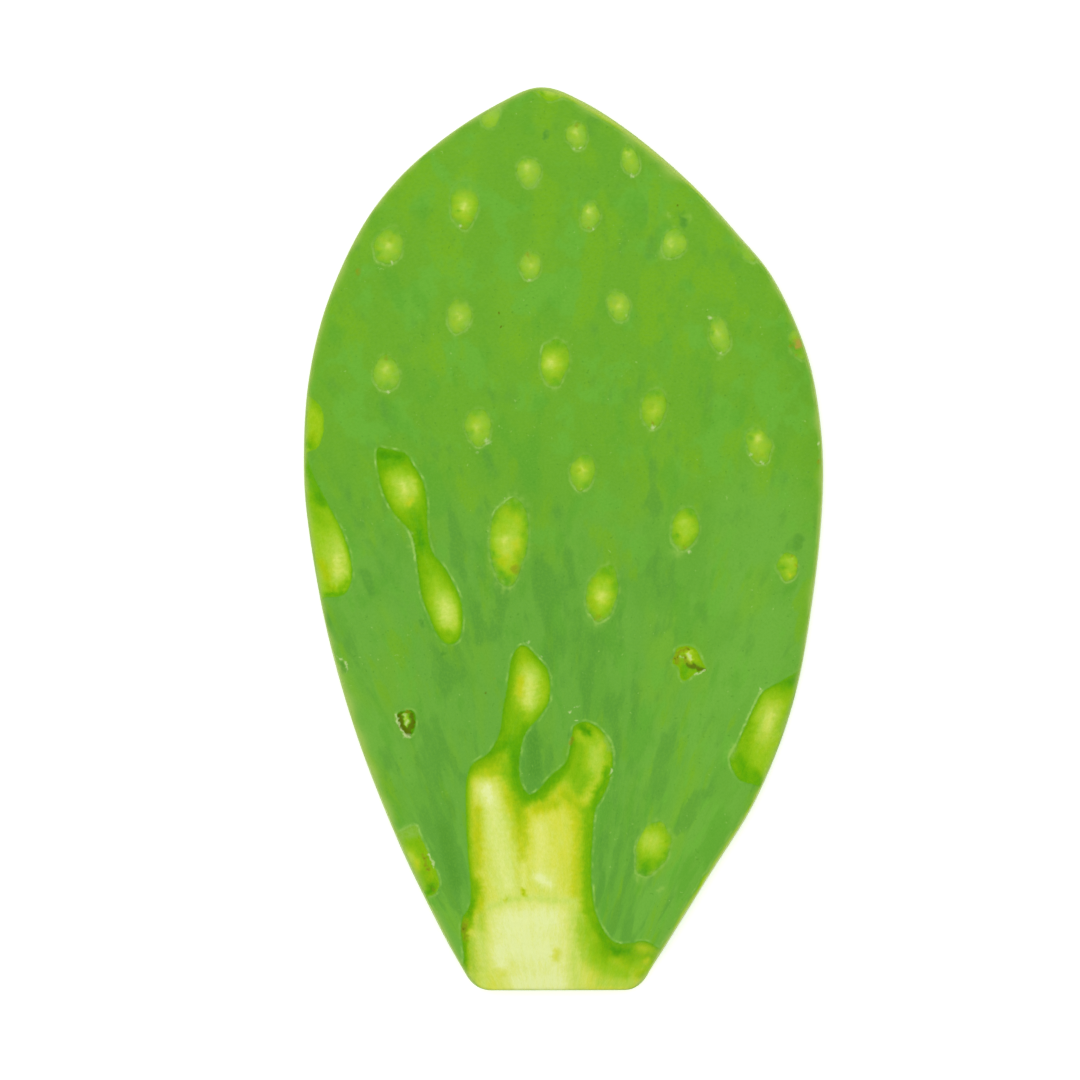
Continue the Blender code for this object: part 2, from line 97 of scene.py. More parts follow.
# %% [markdown]
# ## The outline
#
# The pad's edge is one smooth line, so a few anchors and a spline through them
# are enough. We keep lengths in millimetres, with the origin in the middle of the
# outline, and turn them into metres when the mesh is made. The tip points to +Y.

# %% Outline anchors
MM = 0.001
HALF_LENGTH = 100.0
HALF_WIDTH = 57.5
EDGE_ANCHORS = (
    (-21.8, -96.0), (-27.2, -86.3), (-36.4, -67.4), (-45.7, -43.7), (-52.5, -19.8),
    (-56.7, 4.1), (-57.5, 20.0), (-56.3, 36.0), (-52.4, 52.0), (-45.2, 68.0),
    (-36.9, 79.3), (-26.3, 88.7), (-14.7, 96.1), (-5.0, 99.9), (4.6, 96.6),
    (16.2, 89.0), (28.4, 78.5), (38.3, 67.8), (46.8, 57.2), (53.9, 41.3),
    (57.0, 25.4), (57.5, 9.4), (55.5, -11.8), (51.1, -35.9), (43.0, -57.1),
    (31.6, -75.7), (19.1, -95.8),
)
BASE_CORNERS = ((-19.8, -HALF_LENGTH), (17.0, -HALF_LENGTH))
BASE_FLAT = ((-16.0, -HALF_LENGTH), (13.6, -HALF_LENGTH))


# %% A smooth line through anchors
POINTS_PER_ANCHOR = 24
FEWEST_POINTS = 4


def resample(line, step, closed):
    """The line's points respaced evenly; a closed line doesn't repeat its first point."""
    along = np.concatenate(([0.0], np.cumsum(np.linalg.norm(np.diff(line, axis=0), axis=1))))
    count = max(int(round(along[-1] / step)), FEWEST_POINTS)
    stations = np.linspace(0, along[-1], count + 1)
    if closed:
        stations = stations[:-1]
    return np.column_stack([np.interp(stations, along, line[:, k]) for k in (0, 1)])


def spline(anchors, closed, step):
    """Points every `step` along a smooth curve through the anchors, a Catmull-Rom one."""
    anchors = np.asarray(anchors, float)
    if closed:
        padded = np.vstack((anchors[-1:], anchors, anchors[:2]))
    else:
        padded = np.vstack((2 * anchors[0] - anchors[1], anchors, 2 * anchors[-1] - anchors[-2]))
    dense = []
    t = np.linspace(0, 1, POINTS_PER_ANCHOR, endpoint=False)[:, None]
    for p0, p1, p2, p3 in zip(padded, padded[1:], padded[2:], padded[3:]):
        bend = 2 * p0 - 5 * p1 + 4 * p2 - p3
        twist = -p0 + 3 * p1 - 3 * p2 + p3
        dense.append(p1 + 0.5 * (t * (p2 - p0) + t**2 * bend + t**3 * twist))
    dense.append(anchors[:1] if closed else anchors[-1:])
    return resample(np.vstack(dense), step, closed)


# %% The closed outline with its rounded base corners
EDGE_STEP = 0.8
FINE_STEP = 0.5


def rounded_corner(start, corner, end, count=12):
    start, corner, end = (np.asarray(p, float) for p in (start, corner, end))
    t = np.linspace(0, 1, count)[:, None]
    return (1 - t) ** 2 * start + 2 * t * (1 - t) * corner + t**2 * end


def pad_outline(step):
    """Anticlockwise, from the right of the base round the tip to its left and back."""
    edge = spline(EDGE_ANCHORS, False, FINE_STEP)[::-1]
    left_corner = rounded_corner(EDGE_ANCHORS[0], BASE_CORNERS[0], BASE_FLAT[0])
    right_corner = rounded_corner(BASE_FLAT[1], BASE_CORNERS[1], EDGE_ANCHORS[-1])
    loop = np.vstack((edge, left_corner[1:], right_corner[:-1], edge[:1]))
    return resample(loop, step, True)


def inward_normals(loop):
    tangent = np.roll(loop, -1, axis=0) - np.roll(loop, 1, axis=0)
    tangent /= np.linalg.norm(tangent, axis=1)[:, None]
    return np.column_stack((-tangent[:, 1], tangent[:, 0]))


outline = pad_outline(EDGE_STEP)
outline_middle = (outline.max(0) + outline.min(0)) / 2
print("outline points:", len(outline), "length mm:", round(float(np.ptp(outline[:, 1])), 1))

# %% [markdown]
# ## Distances
#
# Nearly everything on the pad is told by a distance: how far in from the rim, how
# far inside the line of a cut. Two small tools give them for many points at once.
# The signed distance is positive inside a closed line and negative outside it.


# %% Distance tools
NO_LENGTH = 1e-12            # keeps a stroke that is a mere dot from dividing by zero
FAR_OUTSIDE = -9.0


def distance_to_line(points, line, closed):
    ends = np.roll(line, -1, axis=0) if closed else line[1:]
    starts = line if closed else line[:-1]
    nearest = np.full(len(points), np.inf)
    for start, end in zip(starts, ends):
        run = end - start
        share = np.clip((points - start) @ run / max(run @ run, NO_LENGTH), 0, 1)
        away = points - start - share[:, None] * run
        nearest = np.minimum(nearest, np.einsum("ij,ij->i", away, away))
    return np.sqrt(nearest)


def is_inside(points, loop):
    inside = np.zeros(len(points), bool)
    x, y = points.T
    for (x0, y0), (x1, y1) in zip(loop, np.roll(loop, -1, axis=0)):
        if y0 != y1:
            crosses = (y0 > y) != (y1 > y)
            inside ^= crosses & (x < x0 + (y - y0) * (x1 - x0) / (y1 - y0))
    return inside


def signed_distance(points, loop, margin=3.0):
    """Distance in from a closed line; far from it, just a number well below 0."""
    near = np.all((points > loop.min(0) - margin) & (points < loop.max(0) + margin), axis=1)
    result = np.full(len(points), FAR_OUTSIDE)
    if near.any():
        gap = distance_to_line(points[near], loop, True)
        result[near] = np.where(is_inside(points[near], loop), gap, -gap)
    return result


# %% [markdown]
# ## Soft unevenness
#
# Grown things are never exact. A sum of a few waves with seeded directions makes
# a smooth, repeatable unevenness that we can use for form and for colour alike.


# %% Seeded unevenness
PITCH_SPREAD = (0.6, 1.7)


def unevenness(points, size, seed, waves=9):
    """A smooth random field, mostly from -1 to 1, whose bumps are about `size` mm apart."""
    rng = np.random.default_rng(seed)
    angle = rng.uniform(0, 2 * math.pi, waves)
    pitch = rng.uniform(*PITCH_SPREAD, waves) * 2 * math.pi / size
    phase = rng.uniform(0, 2 * math.pi, waves)
    total = np.zeros(len(points))
    for a, p, f in zip(angle, pitch, phase):
        total += np.sin(p * (points @ np.array((math.cos(a), math.sin(a)))) + f)
    return total / math.sqrt(waves)


# %% [markdown]
# ## The slab
#
# A pad is thickest low down and thins towards the tip. Its middle layer bows up at
# both ends, and the skin rounds over towards the rim. These are the same values
# that the solid was built from, so the fine surface lies where the solid does.

# %% Slab form
BASE_HALF_THICKNESS = 6.2
TIP_HALF_THICKNESS = 3.2
MIDDLE_SWELL = 0.35
EDGE_THINNING = 0.14
MIDDLE_HEIGHT = 4.75
TIP_LIFT = 3.4
BASE_LIFT = 2.8
TWIST = 0.5
UNDULATION = 0.22
WAVES = ((0.077, 0.032, 0.7), (-0.043, 0.053, 0.0))      # turns across, along, phase
UNDER_CALM = 0.4
RIM_ROUND = 9.0
RIM_TRIM = 1.3
EDGE_BEYOND_BASE = ((-24.0, -110.0), (14.0, -110.0))
COARSE_STEP = 2.0


def half_thickness(points):
    x, y = points.T
    up = (y + HALF_LENGTH) / (2 * HALF_LENGTH)
    middle = BASE_HALF_THICKNESS + (TIP_HALF_THICKNESS - BASE_HALF_THICKNESS) * up
    middle = middle + 4 * MIDDLE_SWELL * up * (1 - up)
    middle = middle * (1 - EDGE_THINNING * (x / HALF_WIDTH) ** 2)
    left_end, right_end = EDGE_BEYOND_BASE
    edge = np.vstack((left_end, spline(EDGE_ANCHORS, False, COARSE_STEP), right_end))
    in_from_edge = distance_to_line(points, edge, False)
    rounding = 1 - np.clip((in_from_edge + RIM_TRIM) / RIM_ROUND, 0, 1)
    return middle * np.sqrt(1 - rounding**2)


def middle_height(points):
    x, y = points.T
    up = np.clip(y, 0, None) / HALF_LENGTH
    down = np.clip(-y, 0, None) / HALF_LENGTH
    twist = TWIST * (x / HALF_WIDTH) * (y / HALF_LENGTH)
    return MIDDLE_HEIGHT + TIP_LIFT * up**2 + BASE_LIFT * down**2 + twist


def undulation(points):
    x, y = points.T
    return UNDULATION * sum(np.sin(a * x + b * y + phase) for a, b, phase in WAVES)


# %% [markdown]
# ## Shaved areoles
#
# An areole is the cushion that the spines grow from. It stands on a low mound, and
# the knife takes the top of the mound off. That leaves a small oval of flesh inside
# a torn rim of rind, with a light spot where the cushion's vein ended. We describe
# one oval by its place, length, width, lean and light spot, and by its marks: cream
# where the rind dried, brown where it bruised, green where the blade hardly went
# in. A seeded wobble keeps the outlines from looking stamped.

# %% One areole
MOUND_HEIGHT = 1.6
MOUND_REACH = 0.9
SHAVING_DOME = 0.1
LENS_POWER = 1.85            # 2 would be an ellipse; a little less gives a lens with fuller ends
WOBBLE = (0.05, 0.05, 0.05, 0.05, 0.04, 0.03)
OVAL_WAVES = ((np.sin, 2), (np.cos, 2), (np.sin, 3), (np.cos, 3), (np.sin, 5), (np.cos, 7))
CRUST_SPREAD = (0.3, 0.9)
NEAR_MIDDLE = 0.05


class Areole:
    """marks are (tone, x, y, reach), measured from the oval's middle."""

    def __init__(self, place, length, width, lean, spot, marks, seed):
        rng = np.random.default_rng(seed)
        self.centre = np.array(place)
        self.half = np.array((length / 2, width / 2))
        self.spot = self.centre + spot
        self.marks = [(tone, *(self.centre + (dx, dy)), reach) for tone, dx, dy, reach in marks]
        angle = math.radians(lean)
        self.axis = np.array((math.cos(angle), math.sin(angle)))
        self.side = np.array((-self.axis[1], self.axis[0]))
        self.wobble = rng.uniform(-1, 1, len(WOBBLE)) * np.array(WOBBLE)
        self.crust = rng.uniform(*CRUST_SPREAD)

    def local(self, points):
        away = points - self.centre
        return np.column_stack((away @ self.axis / self.half[0], away @ self.side / self.half[1]))

    def stretch(self, angle):
        """How far the outline departs from a plain ellipse at each angle."""
        pairs = zip(self.wobble, OVAL_WAVES)
        waves = sum(size * wave(turns * angle) for size, (wave, turns) in pairs)
        c, s = np.abs(np.cos(angle)), np.abs(np.sin(angle))
        return (1 + waves) * (c**LENS_POWER + s**LENS_POWER) ** (-1 / LENS_POWER)

    def radius(self, points):
        """0 at the middle, 1 on the outline."""
        u, v = self.local(points).T
        return np.hypot(u, v) / self.stretch(np.arctan2(v, u))

    def inward(self, points):
        """Signed distance in from the outline, in millimetres."""
        u, v = self.local(points).T
        plain = np.maximum(np.hypot(u, v), NEAR_MIDDLE)
        slope = np.hypot(u / self.half[0], v / self.half[1]) / plain
        return (1 - self.radius(points)) * self.stretch(np.arctan2(v, u)) / slope

    def ring(self, radius, count):
        angle = np.arange(count) * 2 * math.pi / count
        reach = radius * self.stretch(angle)
        along = reach * self.half[0] * np.cos(angle)
        across = reach * self.half[1] * np.sin(angle)
        return self.centre + along[:, None] * self.axis + across[:, None] * self.side


# %% The areoles of the top face, row by row
# place, length, width, lean from +X in degrees, light spot, marks
TOP_AREOLES = (
    ((3.0, 89.0), 6.3, 4.6, 96, (-0.3, 0.7),
     (("brown", -0.1, 2.3, 0.7), ("cream", -0.5, -2.9, 0.5), ("cream", 0.9, -2.7, 0.4))),
    ((14.8, 83.6), 6.6, 4.0, 102, (-0.5, 1.4),
     (("deep", 0.2, 3.0, 0.6), ("olive", -0.6, -1.2, 0.7), ("cream", 0.4, -3.5, 0.6))),
    ((-7.6, 81.0), 6.7, 5.3, 100, (-0.5, 1.0),
     (("rind", 1.7, -2.6, 1.0), ("green", -2.0, -1.4, 0.5))),
    ((5.9, 71.3), 6.4, 4.2, 86, (-0.2, 1.0),
     (("olive", -0.6, -1.0, 0.6), ("bruise", -0.3, -2.5, 0.4), ("cream", 0.4, -3.0, 0.4))),
    ((24.5, 65.2), 6.6, 5.4, 62, (-0.9, 0.2),
     (("leaf", 1.2, 0.1, 1.1), ("rind", -2.7, -2.2, 0.9), ("green", 0.9, -3.0, 0.7))),
    ((-21.9, 73.8), 10.4, 6.4, 86, (-0.1, -0.6),
     (("skin", 0.3, 4.6, 1.8), ("skin", -2.2, 3.6, 1.0), ("skin", 2.3, 3.4, 1.0),
      ("cream", -0.8, -4.8, 0.7), ("skin", -1.6, -4.2, 0.8), ("green", -1.2, -1.3, 0.4))),
    ((-7.3, 60.4), 6.5, 4.7, 84, (0.2, 0.1),
     (("brown", -0.6, 2.2, 0.8), ("olive", 0.2, 1.3, 0.8), ("cream", -0.1, -3.2, 0.5))),
    ((12.2, 51.5), 6.8, 5.2, 104, (-0.2, 0.0),
     (("olive", -0.9, 0.8, 0.8), ("green", -1.4, -1.6, 0.5), ("cream", 1.4, -2.4, 0.4))),
    ((34.5, 45.0), 8.0, 4.6, 104, (-0.4, 0.3),
     (("green", -1.7, 0.4, 0.7), ("cream", -2.3, 3.7, 0.6), ("olive", 0.4, 2.2, 0.7),
      ("cream", 0.4, -3.7, 0.5), ("rind", 0.2, -4.6, 0.7))),
    ((-38.6, 64.7), 8.4, 6.3, 66, (0.0, 0.2),
     (("green", -2.5, -1.6, 0.6), ("olive", 0.6, 1.6, 0.9), ("skin", 1.4, 3.7, 0.9),
      ("cream", 0.6, -3.6, 0.5))),
    ((-23.0, 49.2), 7.8, 5.3, 78, (-0.1, -0.2),
     (("skin", 0.6, 3.6, 0.9), ("rind", 2.0, -2.0, 0.7), ("olive", -1.0, -0.6, 0.7))),
    ((-1.9, 39.0), 10.6, 6.4, 88, (-0.9, -0.5),
     (("light", -0.9, 0.0, 1.5), ("pale", -0.9, 0.0, 0.6), ("green", 0.8, 4.6, 1.9),
      ("lime", 2.5, 1.4, 1.0), ("green", 0.6, -4.6, 1.2), ("lime", 2.0, -2.6, 0.8),
      ("dry", -3.0, 3.0, 1.4), ("clean", 3.0, 0.0, 2.4))),
    ((20.0, 28.8), 8.6, 5.7, 84, (-0.1, -0.2),
     (("green", -0.2, 3.6, 1.4), ("deep", -0.3, 4.4, 0.7), ("olive", -0.8, 0.6, 1.2),
      ("bruise", -0.2, -3.3, 0.55), ("cream", -0.1, -4.3, 0.8), ("cream", 0.2, -5.7, 0.4))),
    ((43.2, 20.6), 8.0, 5.6, 102, (-0.2, 1.6),
     (("skin", 2.3, 3.0, 1.4), ("leaf", 0.2, -0.8, 0.9), ("green", -1.9, 1.6, 0.7),
      ("olive", -0.2, -2.1, 0.8), ("cream", -1.7, -2.0, 0.4), ("cream", 0.6, -3.8, 0.5))),
    ((-39.1, 36.6), 8.0, 5.8, 86, (-0.1, 0.7),
     (("bruise", 0.0, 3.3, 0.6), ("brown", 1.9, 3.6, 0.35), ("green", 0.0, -2.8, 0.9),
      ("rind", 2.4, 0.2, 0.7), ("cream", 0.2, -4.2, 0.6), ("cream", -1.9, -2.7, 0.35))),
    ((-18.8, 24.7), 8.0, 6.0, 92, (-0.1, -0.4),
     (("olive", 0.6, -0.8, 0.8), ("green", -1.9, -1.4, 0.6), ("cream", 1.9, -3.1, 0.9),
      ("cream", -0.3, -5.4, 0.3))),
    ((4.3, 14.7), 8.2, 5.4, 78, (-0.4, 0.4),
     (("green", 1.2, 3.4, 0.8), ("olive", -1.2, 0.4, 0.7), ("green", 0.8, -2.9, 0.9),
      ("lime", -1.7, -1.4, 0.6), ("cream", -0.5, -3.9, 0.3))),
    ((26.9, 2.2), 9.8, 5.9, 76, (-0.1, 0.9),
     (("leaf", 0.0, 0.6, 1.5), ("green", 1.9, 3.7, 1.1), ("bruise", -0.2, -3.9, 0.5),
      ("cream", 0.9, -5.0, 0.5), ("rind", -1.7, -5.2, 1.0), ("green", -1.9, -1.6, 0.6))),
    ((49.6, -6.1), 6.2, 4.8, 92, (0.4, 1.0),
     (("leaf", 0.4, 0.2, 1.7), ("green", -1.4, -0.2, 1.0), ("gold", 0.3, -1.9, 0.6),
      ("brown", 1.9, 0.3, 0.5), ("bruise", 0.9, 2.2, 0.4), ("cream", 0.8, 1.4, 0.3))),
    ((-12.0, -0.4), 18.8, 9.0, 86, (-0.9, 0.2),
     (("olive", 0.0, 6.2, 1.8), ("green", 1.4, 7.6, 1.3), ("green", -3.0, 4.6, 0.9),
      ("leaf", -0.4, 3.0, 2.6), ("light", -0.6, -0.4, 2.0), ("pale", -0.8, 0.2, 0.6),
      ("gold", 1.4, -0.6, 1.0), ("lime", 3.4, 1.4, 0.8), ("olive", 2.2, -3.4, 1.3),
      ("light", -0.5, -2.6, 0.8), ("honey", -1.4, -4.8, 1.3), ("green", -3.7, -3.0, 0.6),
      ("bruise", 1.7, -6.3, 0.8), ("brown", 1.2, -6.2, 1.3), ("deep", -0.5, -8.6, 0.9),
      ("green", -1.7, -7.2, 0.9), ("clean", 1.0, -6.0, 5.0), ("clean", 4.4, 0.0, 4.0),
      ("clean", -4.4, -3.0, 3.0), ("dry", -3.0, 6.6, 1.6), ("dry", -0.4, 9.2, 1.6),
      ("cream", -1.2, 9.5, 0.35))),
    ((8.6, -12.0), 12.7, 6.9, 80, (-0.3, -0.6),
     (("green", 0.8, 5.0, 1.7), ("green", 3.0, 1.6, 0.9), ("lime", 2.8, -1.4, 0.7),
      ("leaf", 0.1, 1.6, 1.4), ("light", 0.0, -0.6, 1.6), ("pale", -0.2, -0.8, 0.8),
      ("olive", -2.5, -1.8, 0.8), ("brown", -1.0, -5.3, 0.7), ("bruise", -1.4, -5.8, 0.3),
      ("dry", -2.4, -4.4, 1.4), ("dry", 0.8, -5.8, 1.0))),
    ((19.7, -68.3), 12.4, 7.4, 68, (-0.3, 1.2),
     (("olive", 1.8, 5.0, 1.0), ("leaf", -0.4, 1.4, 2.8), ("light", -0.4, 1.6, 1.9),
      ("green", 3.2, -0.9, 0.9), ("lime", 3.0, 1.8, 0.7), ("green", -1.4, -3.4, 1.5),
      ("deep", -1.9, -5.2, 1.2), ("green", 1.6, -3.4, 1.2), ("rind", 4.4, -2.0, 0.4),
      ("dry", 4.0, -2.6, 0.9), ("dry", -3.6, 1.0, 1.0))),
)
RIM_AREOLES = (
    ((-16.0, 93.0), 5.2, 3.6, 60, (0.2, 0.4),
     (("leaf", 0.1, 0.0, 1.5), ("lime", -0.6, -1.6, 0.9), ("clean", 0.0, -1.4, 3.0),
      ("rind", 1.0, 2.2, 1.3), ("rind", -1.4, 0.8, 0.9), ("brown", -0.2, 1.8, 0.5))),
    ((40.2, 64.0), 6.8, 2.8, 130, (0.3, -0.3),
     (("lime", 0.2, 0.0, 2.4), ("green", -0.9, -0.1, 0.8), ("deep", -1.4, 1.0, 0.6),
      ("bruise", -1.7, 2.0, 0.45), ("clean", 0.0, 0.0, 3.0))),
    ((52.2, 43.0), 6.6, 4.6, 112, (0.4, 0.3),
     (("green", -0.2, -0.4, 2.8), ("deep", -1.6, -0.9, 1.0), ("bruise", -1.9, -0.4, 0.45),
      ("bruise", -0.9, -2.2, 0.4), ("leaf", -1.1, 2.3, 0.9), ("brown", -0.6, 1.2, 0.7),
      ("tan", -0.1, 0.2, 1.25), ("clean", 0.0, -1.5, 2.6))),
)
RIM_SEEDS_FROM = 60
top_areoles = [Areole(*row, seed) for seed, row in enumerate(TOP_AREOLES)]
rim_areoles = [Areole(*row, RIM_SEEDS_FROM + seed) for seed, row in enumerate(RIM_AREOLES)]
# Two more have only a mound here: their flesh is torn, so it is drawn with the long cuts.
BARE_MOUNDS = (
    ((27.5, -27.4), 9.0, 8.0, 80, 21),       # place, length, width, lean, seed
    ((-34.6, -40.4), 6.9, 4.8, 105, 22),
)
mounds = top_areoles + [Areole(*row[:4], (0.0, 0.0), (), row[4]) for row in BARE_MOUNDS]
print("areoles on the top face:", len(mounds) + len(rim_areoles))

# %% The areoles of the underside
# Each row is its height on the pad's axis, its fall, its bow and its areoles.
UNDER_ROWS = (
    (90.0, -0.50, 0.0, ((2.0, 0.0), (15.5, 0.0))),
    (76.0, -0.75, 0.012, ((-20.0, 0.0), (-6.0, 0.0), (8.0, 0.0), (27.0, 0.0))),
    (57.5, -0.57, 0.006, ((-37.0, 0.0), (-21.0, 0.0), (-5.0, 0.0), (13.0, 0.0), (36.0, 0.0))),
    (37.0, -0.54, 0.0035, ((-45.0, 0.0), (-24.0, 0.0), (-2.0, 0.0), (20.0, 0.0), (43.0, 0.0))),
    (14.0, -0.60, 0.004, ((-38.0, -1.0), (-16.0, -1.0), (6.0, 1.0), (28.0, 0.0), (47.0, 0.0))),
    (-8.0, -0.66, 0.0, ((-46.0, -1.0), (-30.0, 0.0), (-10.0, 0.0), (10.0, 0.0), (30.0, 0.0))),
    (-33.0, -0.70, 0.0, ((-38.0, 0.0), (-20.0, 0.0), (0.0, 0.0), (17.0, 0.0), (36.0, 3.0))),
    (-60.0, -0.70, 0.0, ((-24.0, -1.0), (20.0, 0.0))),
)
UNDER_SCATTER = 1.1
UNDER_SEED = 11
SHAVING_LENGTH = 8.2
SHAVING_GROWTH = -0.02
SHAVING_ASPECT = 0.66
SHAVING_LEAN = 82.0
LEAN_SPREAD = 10.0
LENGTH_SPREAD = (0.85, 1.3)
SPOT_SHIFT = 0.4
SPOT_RISE = 0.6
UNDER_SEEDS_FROM = 100


def make_under_areoles():
    rng = np.random.default_rng(UNDER_SEED)
    found = []
    for height, fall, bow, places in UNDER_ROWS:
        for across, rise in places:
            place = np.array((across, height + fall * across + bow * across**2 + rise))
            x, y = place + rng.uniform(-UNDER_SCATTER, UNDER_SCATTER, 2)
            length = rng.uniform(*LENGTH_SPREAD) * (SHAVING_LENGTH + SHAVING_GROWTH * y)
            lean = SHAVING_LEAN + rng.uniform(-LEAN_SPREAD, LEAN_SPREAD)
            spot = (SPOT_SHIFT * math.cos(height), SPOT_RISE + SPOT_SHIFT * math.sin(across))
            seed = UNDER_SEEDS_FROM + len(found)
            width = SHAVING_ASPECT * length
            marks = under_marks(length, seed)
            found.append(Areole((-x, y), length, width, lean, spot, marks, seed))
    return found


OLIVE_SCATTER = 1.2
OLIVE_REACH = 0.8
GREEN_CHANCE = 0.6
GREEN_FROM_END = 0.6
GREEN_REACH = (0.6, 1.2)
BRUISE_CHANCE = 0.35
BRUISE_FROM_END = 0.8
BRUISE_REACH = 0.5
CREAM_REACH = (0.3, 0.8)


def under_marks(length, seed):
    """Marks like those of the top face: a green end, some olive, dried rind at the low end."""
    rng = np.random.default_rng(seed)
    end = length / 2
    marks = [("olive", *rng.uniform(-OLIVE_SCATTER, OLIVE_SCATTER, 2), OLIVE_REACH)]
    if rng.random() < GREEN_CHANCE:
        across = rng.uniform(-1, 1)
        marks.append(("green", across, end - GREEN_FROM_END, rng.uniform(*GREEN_REACH)))
    if rng.random() < BRUISE_CHANCE:
        across = rng.uniform(-BRUISE_FROM_END, BRUISE_FROM_END)
        along = rng.choice((BRUISE_FROM_END - end, end - BRUISE_FROM_END))
        marks.append(("bruise", across, along, BRUISE_REACH))
    marks.append(("cream", rng.uniform(-1, 1), -end, rng.uniform(*CREAM_REACH)))
    return marks


under_areoles = make_under_areoles()
print("areoles on the underside:", len(under_areoles))

# %% [markdown]
# ## The long cuts
#
# Where the knife slid on, its cuts are longer: a forked one runs up from the base
# into two arms, two shavings are joined by a narrow neck, and slices open onto the
# left and right edge. Each cut is a closed line with only the points its shape
# needs, and its floor drops from that line over a sloping wall.
#
# Flesh isn't one colour. We paint it as a painter would: a first tone all over,
# then soft strokes of other tones on top, in order. A stroke runs from one point to
# another and fades out over its reach.

# %% A long cut
class LongCut:
    """outline: its line; depth, wall: the floor and the slope down to it, in mm;
    tone, edge, fade: the flesh in the middle, at the line, and how fast one turns into
    the other; strokes: (tone, x0, y0, x1, y1, reach); domes: areoles it swept over."""

    def __init__(self, outline, depth, wall, tone, edge, fade, strokes, domes=()):
        self.loop = spline(outline, True, CUT_STEP)
        self.depth = depth
        self.wall = wall
        self.tone = tone
        self.edge = edge
        self.fade = fade
        self.strokes = strokes
        self.domes = domes


CUT_STEP = 0.45

